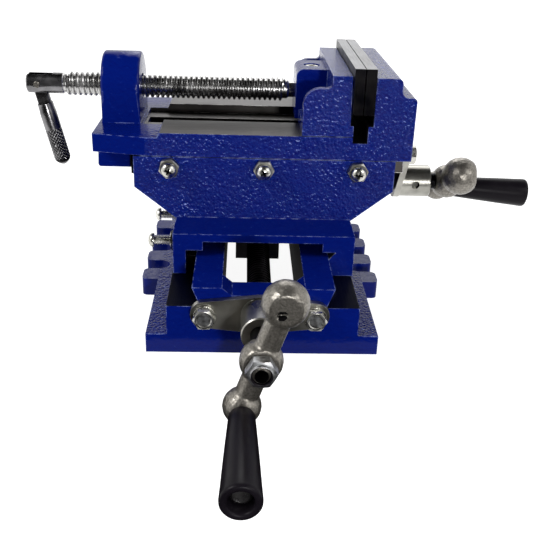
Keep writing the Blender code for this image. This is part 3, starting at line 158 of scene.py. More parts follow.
# %% [markdown]
# The photograph is taken on white paper in soft light. The paper lies level under the base and drops away
# just in front of it, like paper over a table's edge, because the front crank hangs lower than the base.
# Seen by the camera it glows a little, so it reads as white while the lamps stay at a plain level.

# %% Paper and backdrop
PAPER_GLOW = 0.93
SKY_LIGHT = 0.34
FAR = 7.0


def seen_mask(tree):
    """1 for rays that show the background: straight from the camera, mirrored or through glass."""
    path = place(tree, "LightPath")
    either = maths(tree, "MAXIMUM", path.outputs["Is Camera Ray"], path.outputs["Is Glossy Ray"])
    return maths(tree, "MAXIMUM", either, path.outputs["Is Transmission Ray"])


paper, tree = new_material("white_paper")
glow = maths(tree, "MULTIPLY", seen_mask(tree), PAPER_GLOW)
fibres = place(tree, "TexNoise", {"Scale": 900.0, "Detail": 3.0})
tint = blend_colour(tree, fibres.outputs["Fac"], (0.46, 0.46, 0.46, 1), (0.50, 0.50, 0.50, 1))
finish_material(tree, Base_Color=tint, Roughness=0.9, Specular_IOR_Level=0.0, Emission_Color=(1, 1, 1, 1),
                Emission_Strength=glow)

sweep = [(FAR, 0.0), (-0.121, 0.0), (-0.127, -0.0006), (-0.133, -0.0030), (-0.139, -0.0090)]
sweep += [(-0.145, -0.0200), (-0.151, -0.0330), (-0.160, -0.0440), (-0.175, -0.0500), (-FAR, -0.0500)]
bm = bmesh.new()
rows = [[bm.verts.new((x, y, z)) for x in (-FAR, FAR)] for y, z in sweep]
for first, second in zip(rows, rows[1:]):
    bm.faces.new((first[0], first[1], second[1], second[0]))
bmesh.ops.recalc_face_normals(bm, faces=bm.faces)
mesh = bpy.data.meshes.new("paper")
bm.to_mesh(mesh)
bm.free()
mesh.shade_smooth()
mesh.materials.append(paper)
floor = bpy.data.objects.new("paper", mesh)
scene.collection.objects.link(floor)

world = bpy.data.worlds.new("studio")
world.use_nodes = True
tree = world.node_tree
tree.nodes.clear()
strength = remap(tree, seen_mask(tree), 0.0, 1.0, SKY_LIGHT, 1.0)
sky = place(tree, "Background", {"Color": (1, 1, 1, 1), "Strength": strength})
place(tree, "OutputWorld", {"Surface": sky.outputs[0]})
scene.world = world
print("paper rows:", len(sweep))

# %% [markdown]
# Four soft boxes light it: the key from the upper left, a weaker fill from the right, a small low one in
# front that sparkles in the paint, and one behind for bright lines along the top edges. The dark studio is a
# card that lies in front of the paper, stands up and runs over the top, seen only in reflections: it keeps
# the blue paint deep and gives plated steel something dark to show.

# %% Lamps and card
LAMPS_FACE = Vector((0.0, 0.0, 0.06))


def soft_box(name, spot, size, watts):
    """A square lamp turned to the middle of the vise."""
    lamp = bpy.data.lights.new(name, "AREA")
    lamp.energy = watts
    lamp.size = size
    box = bpy.data.objects.new(name, lamp)
    scene.collection.objects.link(box)
    box.location = spot
    box.rotation_euler = (LAMPS_FACE - Vector(spot)).to_track_quat("-Z", "Y").to_euler()


soft_box("key", (-0.95, -0.45, 0.95), 0.40, 9.0)
soft_box("fill", (0.9, -0.8, 0.8), 0.5, 3.2)
soft_box("front", (0.20, -1.10, 0.20), 0.07, 4.5)
soft_box("rim", (0.15, 1.1, 1.0), 0.9, 7.0)

card_material, tree = new_material("black_card")
cloudy = place(tree, "TexNoise", {"Scale": 2.0, "Detail": 2.0})
dusk = blend_colour(tree, cloudy.outputs["Fac"], (0.003, 0.003, 0.004, 1), (0.012, 0.010, 0.011, 1))
finish_material(tree, Base_Color=dusk, Roughness=1.0, Specular_IOR_Level=0.0)


def card(name, half, profile):
    """A strip bent along a profile of (y, z) points, seen only in reflections."""
    mesh = bpy.data.meshes.new(name)
    corners = [(x, y, z) for y, z in profile for x in (-half, half)]
    mesh.from_pydata(corners, [], [(i, i + 1, i + 3, i + 2) for i in range(0, len(corners) - 2, 2)])
    mesh.materials.append(card_material)
    strip = bpy.data.objects.new(name, mesh)
    scene.collection.objects.link(strip)
    strip.visible_camera = False
    strip.visible_diffuse = False
    strip.visible_shadow = False


card("tall_card", 1.1, [(-0.26, -0.046), (-1.25, -0.046), (-1.25, 1.6), (1.5, 1.6)])
near = [(-0.124, 0.0012), (-0.134, -0.0020), (-0.141, -0.0095), (-0.147, -0.0205), (-0.153, -0.0340)]
card("near_card", 0.12, near + [(-0.161, -0.042), (-0.26, -0.045)])
print("lamps:", len(bpy.data.lights))

# %% [markdown]
# Three effects come back in many finishes, so each is a node group. The first is the skin of a sand
# casting: small pits and swellings that paint follows. A displaced mesh could show them, but they are a
# tenth of a millimetre deep, so a height for a Bump node is enough. The same noise read a little higher up
# has another value, and the difference tells how far the skin leans to the light: it gives painted
# highlights, short bright strokes, and painted shade in the hollows of hammered paint.

# %% Group: sand cast skin


def new_group(name, inputs, outputs):
    """A node group with named float inputs and outputs."""
    group = bpy.data.node_groups.new(name, "ShaderNodeTree")
    for title, value in inputs.items():
        socket = group.interface.new_socket(title, in_out="INPUT", socket_type="NodeSocketFloat")
        socket.default_value = value
    for title in outputs:
        group.interface.new_socket(title, in_out="OUTPUT", socket_type="NodeSocketFloat")
    entry = group.nodes.new("NodeGroupInput")
    leave = group.nodes.new("NodeGroupOutput")
    return group, entry.outputs, leave.inputs


HIGHER_UP = (0.0001, 0.0002, 0.0005)
cast_skin, given, result = new_group("sand_cast_skin", {"Grain": 480.0, "Hammer": 0.5},
                                     ["Height", "Glints", "Shade"])
spot = place(cast_skin, "TexCoord").outputs["Object"]
grain = given["Grain"]
swell = place(cast_skin, "TexNoise", {"Vector": spot, "Scale": grain, "Detail": 3.0, "Roughness": 0.6})
cells = place(cast_skin, "TexVoronoi", {"Vector": spot, "Scale": grain, "Smoothness": 0.6}, feature="SMOOTH_F1")
hammered = maths(cast_skin, "MULTIPLY", cells.outputs["Distance"], given["Hammer"])
height = maths(cast_skin, "ADD", swell.outputs["Fac"], hammered)
higher = place(cast_skin, "VectorMath", {0: spot, 1: HIGHER_UP}, operation="ADD")
here, there = [place(cast_skin, "TexNoise", {"Vector": where, "Scale": grain, "Detail": 2.0, "Distortion": 0.5})
               for where in (spot, higher.outputs[0])]
lean = maths(cast_skin, "SUBTRACT", here.outputs["Fac"], there.outputs["Fac"])
patches = place(cast_skin, "TexNoise", {"Vector": spot, "Scale": 60.0, "Detail": 2.0})
# Painted highlights: short bright strokes where the skin leans most to the light.
glints = maths(cast_skin, "MULTIPLY", remap(cast_skin, lean, 0.14, 0.27),
               remap(cast_skin, patches.outputs["Fac"], 0.35, 0.60))
cast_skin.links.new(height, result["Height"])
cast_skin.links.new(glints, result["Glints"])
# Painted shade and light: how far the skin leans to the light, for lit and shaded tones of the paint.
cast_skin.links.new(remap(cast_skin, lean, -0.16, 0.16), result["Shade"])
print("group:", cast_skin.name, len(cast_skin.nodes), "nodes")

# %% [markdown]
# The second is wear and painted highlight: paint and plating thin out along edges first, and rounded
# edges catch the light, so the lighter edges are worn paint and painted highlight together. The Bevel node
# gives the normal a rounded edge would have, and where it differs from the true one there is an edge.
# Noise breaks the line up.

# %% Group: edge wear and painted highlight
edge_wear_and_highlight, given, result = new_group("edge_wear_and_highlight", {"Reach": 0.0006, "Breaks": 260.0}, ["Wear"])
rounded_normal = place(edge_wear_and_highlight, "Bevel", {"Radius": given["Reach"]}, samples=4)
true_normal = place(edge_wear_and_highlight, "NewGeometry").outputs["Normal"]
facing = place(edge_wear_and_highlight, "VectorMath", {0: rounded_normal.outputs[0], 1: true_normal},
               operation="DOT_PRODUCT")
edge = remap(edge_wear_and_highlight, facing.outputs["Value"], 0.998, 0.93)
spot = place(edge_wear_and_highlight, "TexCoord").outputs["Object"]
gaps = place(edge_wear_and_highlight, "TexNoise", {"Vector": spot, "Scale": given["Breaks"], "Detail": 4.0})
broken = remap(edge_wear_and_highlight, gaps.outputs["Fac"], 0.42, 0.62)
# The mask lightens edges, both as wear and as painted highlight.
edge_wear_and_highlight.links.new(maths(edge_wear_and_highlight, "MULTIPLY", edge, broken), result["Wear"])
print("group:", edge_wear_and_highlight.name)

# %% [markdown]
# The third is the mark of a milling cutter or grinder: fine parallel lines with slow changes of tone.
# Noise stretched far along one axis gives both.

# %% Group: machine marks
machine_marks, given, result = new_group("machine_marks", {"Along_X": 1.0, "Along_Y": 1.0}, ["Lines", "Tone"])
spot = place(machine_marks, "TexCoord").outputs["Object"]
scale = place(machine_marks, "CombineXYZ", {0: given["Along_X"], 1: given["Along_Y"], 2: 1.0})
stretched = place(machine_marks, "VectorMath", {0: spot, 1: scale.outputs[0]}, operation="MULTIPLY")
lines = place(machine_marks, "TexNoise", {"Vector": stretched.outputs[0], "Scale": 2400.0, "Detail": 4.0})
clouds = place(machine_marks, "TexNoise", {"Vector": spot, "Scale": 45.0, "Detail": 3.0})
machine_marks.links.new(lines.outputs["Fac"], result["Lines"])
machine_marks.links.new(clouds.outputs["Fac"], result["Tone"])
print("group:", machine_marks.name)

# %% [markdown]
# The castings wear a deep blue gloss enamel. On the jaws and the body's front it lies over a coarse,
# hammered looking skin, with painted glints and painted shade that follow its relief; on the base and the
# post the skin is smoother. One function makes both, with the skin's size and depth as its values. Recesses
# and gaps are painted near black, as painted shade where the shade lies deep.

# %% Blue enamel
DEEP_BLUE = (0.001, 0.004, 0.110, 1)
# Painted highlight: the colour of the glints.
PAINTED_GLINT_BLUE = (0.30, 0.42, 0.95, 1)
# Lighter edges: worn paint and painted highlight.
WORN_AND_HIGHLIGHT_BLUE = (0.30, 0.38, 0.75, 1)


def use_group(tree, group, **values):
    """Put a node group into a material, with some of its values set."""
    node = place(tree, "Group", node_tree=group)
    for name, value in values.items():
        node.inputs[name].default_value = value
    return node.outputs


def enamel(name, grain, hammer, depth, roughness, shine, painted_glint_share, light):
    """Gloss enamel over a sand cast skin; hammer sets its cells' depth and how strongly painted shade darkens
    its hollows.
    """
    material, tree = new_material(name)
    skin = use_group(tree, cast_skin, Grain=grain, Hammer=hammer)
    wear_and_highlight = use_group(tree, edge_wear_and_highlight, Reach=0.0007, Breaks=240.0)
    # Painted shade and light: darker where the skin leans from the light, lighter where it leans to it.
    tone = remap(tree, skin["Shade"], 0.0, 1.0, 0.5 - hammer / 1.3, 0.5 + hammer / 1.3)
    blue = blend_colour(tree, tone, DEEP_BLUE, light)
    # Painted highlights: bright glints where the skin leans most to the light.
    blue = blend_colour(tree, maths(tree, "MULTIPLY", skin["Glints"], painted_glint_share), blue, PAINTED_GLINT_BLUE)
    # Lighter edges, partly worn paint and partly painted highlight.
    blue = blend_colour(tree, maths(tree, "MULTIPLY", wear_and_highlight["Wear"], 0.70), blue, WORN_AND_HIGHLIGHT_BLUE)
    bump = place(tree, "Bump", {"Height": skin["Height"], "Strength": 0.9, "Distance": depth})
    gloss = remap(tree, skin["Height"], 0.3, 1.0, roughness + 0.08, roughness)
    finish_material(tree, Base_Color=blue, Roughness=gloss, Normal=bump.outputs[0], Specular_IOR_Level=shine)
    return material


coarse_blue = enamel("coarse_blue_enamel", grain=640.0, hammer=0.6, depth=0.00070, roughness=0.08, shine=0.15,
                     painted_glint_share=0.80, light=(0.003, 0.018, 0.210, 1))
smooth_blue = enamel("smooth_blue_enamel", grain=330.0, hammer=0.25, depth=0.00026, roughness=0.08, shine=0.10,
                     painted_glint_share=0.10, light=(0.001, 0.012, 0.180, 1))

# Painted shade: a near black for slots, gaps, holes and pits, where the shade lies deep.
recess_shade_black, tree = new_material("painted_recess_shade")
clouds = place(tree, "TexNoise", {"Scale": 200.0, "Detail": 3.0})
black = blend_colour(tree, clouds.outputs["Fac"], (0.001, 0.001, 0.0012, 1), (0.004, 0.0035, 0.004, 1))
finish_material(tree, Base_Color=black, Roughness=0.9, Specular_IOR_Level=0.05)
print("enamels:", coarse_blue.name, smooth_blue.name)

# %% [markdown]
# Sliding faces are milled bare iron, dulled by oil. The bed is the brightest of them; the ways under the
# saddle are nearly black with oil. The lines run along the travel. The jaw plates' tops are ground, with
# lines along the plates.

# %% Milled iron
LONG, SHORT = 0.03, 1.0


def milled(name, dark, pale, roughness, along_x, along_y):
    """Bare machined metal with lines along one axis."""
    material, tree = new_material(name)
    marks = use_group(tree, machine_marks, Along_X=along_x, Along_Y=along_y)
    wear_and_highlight = use_group(tree, edge_wear_and_highlight, Reach=0.0004, Breaks=120.0)
    grey = blend_colour(tree, remap(tree, marks["Tone"], 0.3, 0.7), dark, pale)
    grey = blend_colour(tree, wear_and_highlight["Wear"], grey, (0.62, 0.60, 0.58, 1))
    bump = place(tree, "Bump", {"Height": marks["Lines"], "Strength": 0.35, "Distance": 0.00004})
    gloss = remap(tree, marks["Lines"], 0.3, 0.7, roughness - 0.06, roughness + 0.08)
    finish_material(tree, Base_Color=grey, Metallic=1.0, Roughness=gloss, Normal=bump.outputs[0])
    return material


bed_iron = milled("milled_bed_iron", (0.022, 0.020, 0.019, 1), (0.050, 0.046, 0.044, 1), 0.36, LONG, SHORT)
way_iron = milled("oiled_way_iron", (0.003, 0.004, 0.012, 1), (0.009, 0.010, 0.020, 1), 0.42, SHORT, LONG)
plate_top = milled("ground_plate_top", (0.12, 0.12, 0.125, 1), (0.22, 0.22, 0.23, 1), 0.34, SHORT, LONG)
print("milled finishes:", bed_iron.name, way_iron.name, plate_top.name)

# %% [markdown]
# Screws and bolts are zinc plated and shine; the two brackets and the lock nuts are duller and the tops of
# the forged bolt heads duller still. The jaw screw is plain turned steel, darker on its head and on the
# handle. The jaw plates, gibs and lead screws are black oxide. One function makes them all: a cloudy tone
# between two greys, a faint ripple and brighter edges.

# %% Plated and turned metal
ZINC_EDGE = (0.88, 0.87, 0.82, 1)


def metal(name, dark, pale, roughness, edge_colour, edge_amount, cloud=120.0):
    """Metal with cloudy tone, faint ripple and brighter edges."""
    material, tree = new_material(name)
    spot = place(tree, "TexCoord").outputs["Object"]
    clouds = place(tree, "TexNoise", {"Vector": spot, "Scale": cloud, "Detail": 4.0})
    fine = place(tree, "TexNoise", {"Vector": spot, "Scale": 2600.0, "Detail": 2.0})
    wear_and_highlight = use_group(tree, edge_wear_and_highlight, Reach=0.0003, Breaks=300.0)
    tone = blend_colour(tree, remap(tree, clouds.outputs["Fac"], 0.35, 0.65), dark, pale)
    tone = blend_colour(tree, maths(tree, "MULTIPLY", wear_and_highlight["Wear"], edge_amount), tone, edge_colour)
    bump = place(tree, "Bump", {"Height": fine.outputs["Fac"], "Strength": 0.4, "Distance": 0.00002})
    gloss = remap(tree, clouds.outputs["Fac"], 0.3, 0.7, roughness - 0.05, roughness + 0.07)
    finish_material(tree, Base_Color=tone, Metallic=1.0, Roughness=gloss, Normal=bump.outputs[0])
    return material


zinc = metal("bright_zinc", (0.50, 0.49, 0.44, 1), (0.70, 0.69, 0.64, 1), 0.26, ZINC_EDGE, 0.8)
satin_zinc = metal("satin_zinc", (0.24, 0.235, 0.21, 1), (0.44, 0.43, 0.39, 1), 0.30, ZINC_EDGE, 0.9, 70.0)
forged_zinc = metal("forged_zinc", (0.22, 0.22, 0.22, 1), (0.46, 0.47, 0.48, 1), 0.38,
                    (0.88, 0.87, 0.84, 1), 0.9, 500.0)
steel = metal("turned_steel", (0.38, 0.375, 0.37, 1), (0.58, 0.575, 0.57, 1), 0.24,
              (0.88, 0.87, 0.86, 1), 0.8)
darker_steel = metal("darker_steel", (0.12, 0.118, 0.122, 1), (0.24, 0.236, 0.242, 1), 0.26,
                   (0.62, 0.61, 0.60, 1), 0.8)
black_oxide = metal("black_oxide", (0.002, 0.002, 0.003, 1), (0.007, 0.0065, 0.007, 1), 0.36,
                    (0.10, 0.10, 0.11, 1), 0.5)
print("metals:", zinc.name, satin_zinc.name, forged_zinc.name, steel.name, darker_steel.name, black_oxide.name)

# %% [markdown]
# The cranks are cast, then turned and polished by hand: warm grey iron with a fine grain that catches the
# light on the balls. The grips are matt black plastic.

# %% Crank iron and grip plastic
crank_iron, tree = new_material("polished_cast_crank")
skin = use_group(tree, cast_skin, Grain=900.0, Hammer=0.3)
wear_and_highlight = use_group(tree, edge_wear_and_highlight, Reach=0.0008, Breaks=200.0)
grey = blend_colour(tree, remap(tree, skin["Height"], 0.4, 0.9), (0.13, 0.12, 0.105, 1), (0.32, 0.30, 0.265, 1))
grey = blend_colour(tree, maths(tree, "MULTIPLY", wear_and_highlight["Wear"], 0.6), grey, (0.60, 0.57, 0.51, 1))
bump = place(tree, "Bump", {"Height": skin["Height"], "Strength": 0.7, "Distance": 0.00022})
gloss = remap(tree, skin["Height"], 0.3, 1.0, 0.44, 0.28)
finish_material(tree, Base_Color=grey, Metallic=0.85, Roughness=gloss, Normal=bump.outputs[0])

plastic, tree = new_material("matt_black_plastic")
spot = place(tree, "TexCoord").outputs["Object"]
fine = place(tree, "TexNoise", {"Vector": spot, "Scale": 1400.0, "Detail": 3.0})
clouds = place(tree, "TexNoise", {"Vector": spot, "Scale": 70.0, "Detail": 3.0})
black = blend_colour(tree, clouds.outputs["Fac"], (0.004, 0.003, 0.0045, 1), (0.010, 0.008, 0.012, 1))
bump = place(tree, "Bump", {"Height": fine.outputs["Fac"], "Strength": 0.4, "Distance": 0.00005})
gloss = remap(tree, clouds.outputs["Fac"], 0.3, 0.7, 0.30, 0.42)
finish_material(tree, Base_Color=black, Roughness=gloss, Normal=bump.outputs[0], Specular_IOR_Level=0.10)
print("materials so far:", len(bpy.data.materials))

# %% [markdown]
# Every new piece is handed over in the same way: it rides on the body its solid belongs to, stands for
# that solid, and keeps its material slot. Faces meeting at a wide angle are shaded smooth.


def hand_over(node, mesh, materials, sharp=32):
    """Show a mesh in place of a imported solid."""
    mesh.shade_smooth()
    mesh.set_sharp_from_angle(angle=math.radians(sharp))
    for material in materials:
        mesh.materials.append(material)
    piece = bpy.data.objects.new(node + "_shown", mesh)
    scene.collection.objects.link(piece)
    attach(piece, nodes[node]["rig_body"])
    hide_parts(node)
    return piece


def solid_copy(node, seams=()):
    """The solid's mesh as editable geometry, its flat faces whole but for seams across X at given places."""
    bm = bmesh.new()
    bm.from_mesh(nodes[node].data)
    for layer in list(bm.loops.layers.uv):
        bm.loops.layers.uv.remove(layer)
    bmesh.ops.remove_doubles(bm, verts=bm.verts, dist=1e-6)
    edges = [edge for edge in bm.edges if edge.is_manifold]
    bmesh.ops.dissolve_limit(bm, angle_limit=math.radians(0.6), verts=bm.verts, edges=edges)
    for seam in seams:
        everything = bm.verts[:] + bm.edges[:] + bm.faces[:]
        bmesh.ops.bisect_plane(bm, geom=everything, plane_co=(seam, 0, 0), plane_no=(1, 0, 0))
    bmesh.ops.recalc_face_normals(bm, faces=bm.faces)
    return bm


def bake(bm, name):
    """Turn editable geometry into a clean mesh."""
    mesh = bpy.data.meshes.new(name)
    bmesh.ops.recalc_face_normals(bm, faces=bm.faces)
    bm.to_mesh(mesh)
    bm.free()
    for layer in ("custom_normal", "sharp_edge"):
        if layer in mesh.attributes:
            mesh.attributes.remove(mesh.attributes[layer])
    mesh.materials.clear()
    return mesh


def paint_faces(mesh, rule):
    """Give each face the finish that the rule picks from its place and the way it looks."""
    if rule:
        for face in mesh.polygons:
            face.material_index = rule(face.center, face.normal)


# %% [markdown]
# A casting wears enamel outside and is bare where something slides. A rule for each casting picks the finish
# of a face from where it lies, in millimetres, and which way it looks. Painting the faces by hand would do
# too, but a rule says why each face gets what it gets.

# %% Finish rules for the castings
SMOOTH, COARSE, MACHINED, BLACK = range(4)


def base_rule(spot, facing):
    """Machined ways, foot and dovetail flanks, a long slot black with painted shade, coarse rail tops."""
    x, y, z = spot / MM
    if facing.z > 0.9 and 26.0 < z < 28.0:
        return MACHINED
    if facing.z < -0.9 and z < 1.0:
        return MACHINED
    if abs(facing.x) > 0.9 and 20.5 < abs(x) < 21.5:
        return BLACK
    if 27.0 < z < 37.3 and abs(facing.x) > 0.5 and facing.z < -0.1:
        return MACHINED
    if facing.z > 0.9 and 10.0 < z < 11.5 and abs(x) < 60.2:
        return COARSE
    return SMOOTH


def saddle_rule(spot, facing):
    """Machined top, foot and dovetail flanks, coarse upper front and ends."""
    x, y, z = spot / MM
    if facing.z > 0.9 and z > 52.0:
        return MACHINED
    if facing.z < -0.9 and z < 30.0:
        return MACHINED
    if abs(facing.z) > 0.2 and (abs(facing.y) > 0.2 or z < 40.0):
        return MACHINED
    if facing.y < -0.9 and z > 51.0 and y < -48.0:
        return COARSE
    if abs(facing.x) > 0.5 and z > 51.0:
        return COARSE
    return SMOOTH


def body_rule(spot, facing):
    """A seat for the jaw plate black with painted shade, a machined bed and dovetail, a smooth post, the rest
    coarse.
    """
    x, y, z = spot / MM
    if x > 47.5 and z < 131.0 and x < 58.95 and (abs(facing.x) > 0.9 or facing.z > 0.9):
        return BLACK
    if facing.z > 0.9 and (98.0 < z < 99.0 or 93.0 < z < 93.6):
        return MACHINED
    if x > -76.0 and z < 85.0 and abs(facing.y) > 0.2 and abs(facing.z) > 0.1:
        return MACHINED
    if abs(facing.y) > 0.9 and abs(y) < 21.0 and z < 98.5 and x > -76.0:
        return MACHINED
    if facing.z < -0.9 and x > -76.0:
        return MACHINED
    if x < -60.0 or (abs(facing.y) < 0.3 and x < -50.0):
        return SMOOTH
    return COARSE


def jaw_rule(spot, facing):
    """A seat for the jaw plate black with painted shade, a machined foot, a smooth boss, the rest coarse."""
    x, y, z = spot / MM
    if x > 46.2 and (facing.x > 0.9 or facing.z > 0.9):
        return BLACK
    if facing.z < -0.9 and z < 100.0:
        return MACHINED
    if x < 30.0 and abs(y) < 16.0:
        return SMOOTH
    return COARSE


print("rules: base, saddle, body, jaw")

# %% [markdown]
# The castings keep the exact shape of their solids, but no casting has knife edges. A copy of each gets a
# Bevel modifier, which rounds every edge by 0.7 mm. A few edges are rounder in the photograph, the lugs'
# corners and the rims of the nut post, so those are bevelled by more beforehand.

# %% Castings with rounded edges
SHARPEST_KEPT = math.radians(28)


def rounded(node, width, materials, rule=None, segments=2, seams=(), softer=None, by=0.0):
    """A copy of a solid with its edges rounded, and those that softer picks rounded by more."""
    bm = solid_copy(node, seams)
    if softer:
        edges = [edge for edge in bm.edges if edge.calc_face_angle(0) > 0.5 and softer(edge)]
        bmesh.ops.bevel(bm, geom=edges, offset=by, segments=4, profile=0.5, affect="EDGES",
                        clamp_overlap=True)
        print(node, "softened edges:", len(edges))
    mesh = bake(bm, node)
    paint_faces(mesh, rule)
    piece = hand_over(node, mesh, materials)
    bevel = piece.modifiers.new("rounded edges", "BEVEL")
    bevel.width = width
    bevel.segments = segments
    bevel.limit_method = "ANGLE"
    bevel.angle_limit = SHARPEST_KEPT
    bevel.harden_normals = True


def lug_corner(edge):
    """Upright corners of the base's lugs."""
    ends = [vert.co / MM for vert in edge.verts]
    return all(abs(end.x) > 66.0 for end in ends) and abs(ends[0].z - ends[1].z) > 5.0


def post_rim(edge):
    """Rims of the nut post, and the left end of the slide under it."""
    ends = [vert.co / MM for vert in edge.verts]
    if all(abs(end.x + 94.0) < 0.05 and end.z < 85.5 for end in ends):
        return True
    on_a_rim = any(abs(ends[0].x - rim) < 0.05 for rim in (-92.5, -70.7))
    if abs(ends[0].x - ends[1].x) > 0.1 or not on_a_rim:
        return False
    return all(math.hypot(end.y, end.z - 113.5) > 15.0 and end.z > 95.7 for end in ends)


ROUND = 0.7 * MM
enamelled = [smooth_blue, coarse_blue, way_iron, recess_shade_black]
bedded = [smooth_blue, coarse_blue, bed_iron, recess_shade_black]
rounded("base", ROUND, enamelled, base_rule, 3, seams=(-0.0603, 0.0603), softer=lug_corner, by=0.0015)
rounded("saddle", ROUND, enamelled, saddle_rule, 3)
rounded("vise_body", ROUND, bedded, body_rule, 3, seams=(-0.076, 0.0475), softer=post_rim, by=0.0022)
rounded("movable_jaw", ROUND, bedded, jaw_rule, 3)
print("castings: base, saddle, vise_body, movable_jaw")

# %% [markdown]
# The plates, brackets, gibs and small turned parts are rounded in the same way, by less. A jaw plate is
# black all round, but its narrow top was ground, so it shines grey. The side bracket's oil hole is painted
# black inside, as painted shade.

# %% Plates, brackets and small parts


def plate_rule(spot, facing):
    """A jaw plate's top is ground."""
    return 1 if facing.z > 0.9 else 0


def oil_hole_rule(spot, facing):
    """The side bracket's oil hole is black inside: painted shade."""
    x, y, z = spot / MM
    return 1 if math.hypot(x - 97.1, z - 58.8) < 2.6 and y < -5.0 and abs(facing.y) < 0.5 else 0


for node in ("fixed_jaw_plate", "movable_jaw_plate"):
    rounded(node, 0.0003, [black_oxide, plate_top], plate_rule)
rounded("front_bracket", 0.0004, [satin_zinc])
rounded("side_bracket", 0.0004, [satin_zinc, recess_shade_black], oil_hole_rule)
for node in ("front_bracket_washer_1", "front_bracket_washer_2", "keeper_screw_1", "keeper_screw_2",
             "neck_screw"):
    rounded(node, 0.0002, [zinc])
for node in ("lower_gib", "upper_gib", "lower_nut", "upper_nut", "lower_nut_screw_1", "lower_nut_screw_2",
             "fixed_plate_screw_1", "fixed_plate_screw_2", "movable_plate_screw_1", "movable_plate_screw_2"):
    rounded(node, 0.0002, [black_oxide])
for node in ("front_grip_spindle", "side_grip_spindle"):
    rounded(node, 0.0002, [steel])
rounded("keeper_plate", 0.0003, [way_iron])

# %% [markdown]
# Turned shapes are rings of points spun about an axis. One helper builds rings whose radius may change with
# the angle, so the same few lines make a plain shaft and a hexagon with the curved chamfer of a real nut.

# %% Helpers for turned shapes


def aim(point, direction):
    """A matrix that carries +Z to a direction at a point, with local X as near to straight up as it can be."""
    ahead = Vector(direction).normalized()
    rise = Vector((0, 0, 1)) if abs(ahead.z) < 0.9 else Vector((1, 0, 0))
    up = (rise - ahead * rise.dot(ahead)).normalized()
    matrix = Matrix((up, ahead.cross(up), ahead)).transposed().to_4x4()
    matrix.translation = Vector(point)
    return matrix


def add_rings(bm, matrix, rings, steps, hollow=False):
    """Join rings of points; a ring is a function from angle to (along, radius)."""
    made = []
    for ring in rings:
        angles = [2 * math.pi * step / steps for step in range(steps)]
        spots = [(ring(angle), angle) for angle in angles]
        if all(radius < 1e-7 for (along, radius), angle in spots):
            made.append([bm.verts.new(matrix @ Vector((0, 0, spots[0][0][0])))] * steps)
            continue
        points = [Vector((r * math.cos(a), r * math.sin(a), along)) for (along, r), a in spots]
        made.append([bm.verts.new(matrix @ point) for point in points])
    pairs = list(zip(made, made[1:]))
    if hollow:
        pairs.append((made[-1], made[0]))
    for first, second in pairs:
        for step in range(steps):
            after = (step + 1) % steps
            corners = list(dict.fromkeys((first[step], first[after], second[after], second[step])))
            if len(corners) > 2:
                bm.faces.new(corners)
    if not hollow:
        for ring in (made[0], made[-1]):
            if len(set(ring)) > 2:
                bm.faces.new(ring)


def fixed(along, radius):
    """A plain round ring."""
    return lambda angle: (along, radius)


def add_turned(bm, matrix, profile, steps, hollow=False):
    """A turned shape from a profile of (along, radius) points."""
    add_rings(bm, matrix, [fixed(along, radius) for along, radius in profile], steps, hollow)


def hex_ring(flats, edge, slope):
    """A ring on a hexagon's sides, dipping towards its corners as a chamfer cut on a lathe does."""
    def ring(angle):
        side = (angle + math.pi / 6) % (math.pi / 3) - math.pi / 6
        radius = flats / 2 / math.cos(side)
        return edge + slope * (radius - flats / 2 * 0.97), radius
    return ring


print("turning helpers ready")

# %% [markdown]
# A thread is a ridge wound round a core: four points of a trapezoid carried along a helix. The Screw
# modifier can do that too, but here the ridge fades out at both ends, as a real one does where the tool leaves.

# %% Helper for threads
FOOT, CREST = 0.42, 0.15
SUNK = 0.1 * MM


def add_thread(bm, matrix, start, end, root, crest, pitch, steps):
    """Wind a right hand ridge from start to end. FOOT and CREST are its half widths in pitches."""
    count = int((end - start - pitch * 0.9) / pitch * steps)
    rows = []
    for step in range(count + 1):
        angle = 2 * math.pi * step / steps
        fade = min(1.0, step / (steps * 0.4), (count - step) / (steps * 0.4))
        top = root + (crest - root) * fade
        middle = start + pitch * (0.45 + step / steps)
        row = []
        for offset, radius in ((-FOOT, root - SUNK), (-CREST, top), (CREST, top), (FOOT, root - SUNK)):
            spot = Vector((radius * math.cos(angle), radius * math.sin(angle), middle + offset * pitch))
            row.append(bm.verts.new(matrix @ spot))
        rows.append(row)
    for first, second in zip(rows, rows[1:]):
        for index in range(4):
            after = (index + 1) % 4
            bm.faces.new((first[index], first[after], second[after], second[index]))
    bm.faces.new(rows[0])
    bm.faces.new(rows[-1][::-1])
    return count


print("thread helper ready")

# %% [markdown]
# The jaw screw and the two lead screws have a 3 mm pitch, and a lead screw ends in a finer one for its crank
# nut. Each copy of the solid is turned down to the thread's root where it is as thick as the thread's crest,
# and the ridge goes on top, out to the solid's own diameter.

# %% Threaded screws
TURN_STEPS = 32


def threaded(node, point, axis, threads, materials, rule=None):
    """A screw's solid with cut threads, each given as (crest, root, pitch)."""
    bm = solid_copy(node)
    line = Vector(axis)
    origin = Vector(point)
    polar = []
    for vert in bm.verts:
        reach = (vert.co - origin).dot(line)
        polar.append((vert, reach, vert.co - origin - line * reach))
    for crest, root, pitch in threads:
        thick = [(vert, reach, out) for vert, reach, out in polar if abs(out.length - crest) < 0.0001]
        for vert, reach, out in thick:
            vert.co = origin + line * reach + out * (root / crest)
        along = [reach for vert, reach, out in thick]
        steps = add_thread(bm, aim(point, axis), min(along), max(along), root, crest, pitch, TURN_STEPS)
        print(node, "thread:", round(steps / TURN_STEPS, 1), "turns of", round(pitch / MM, 2), "mm")
    mesh = bake(bm, node)
    paint_faces(mesh, rule)
    hand_over(node, mesh, materials, 28)


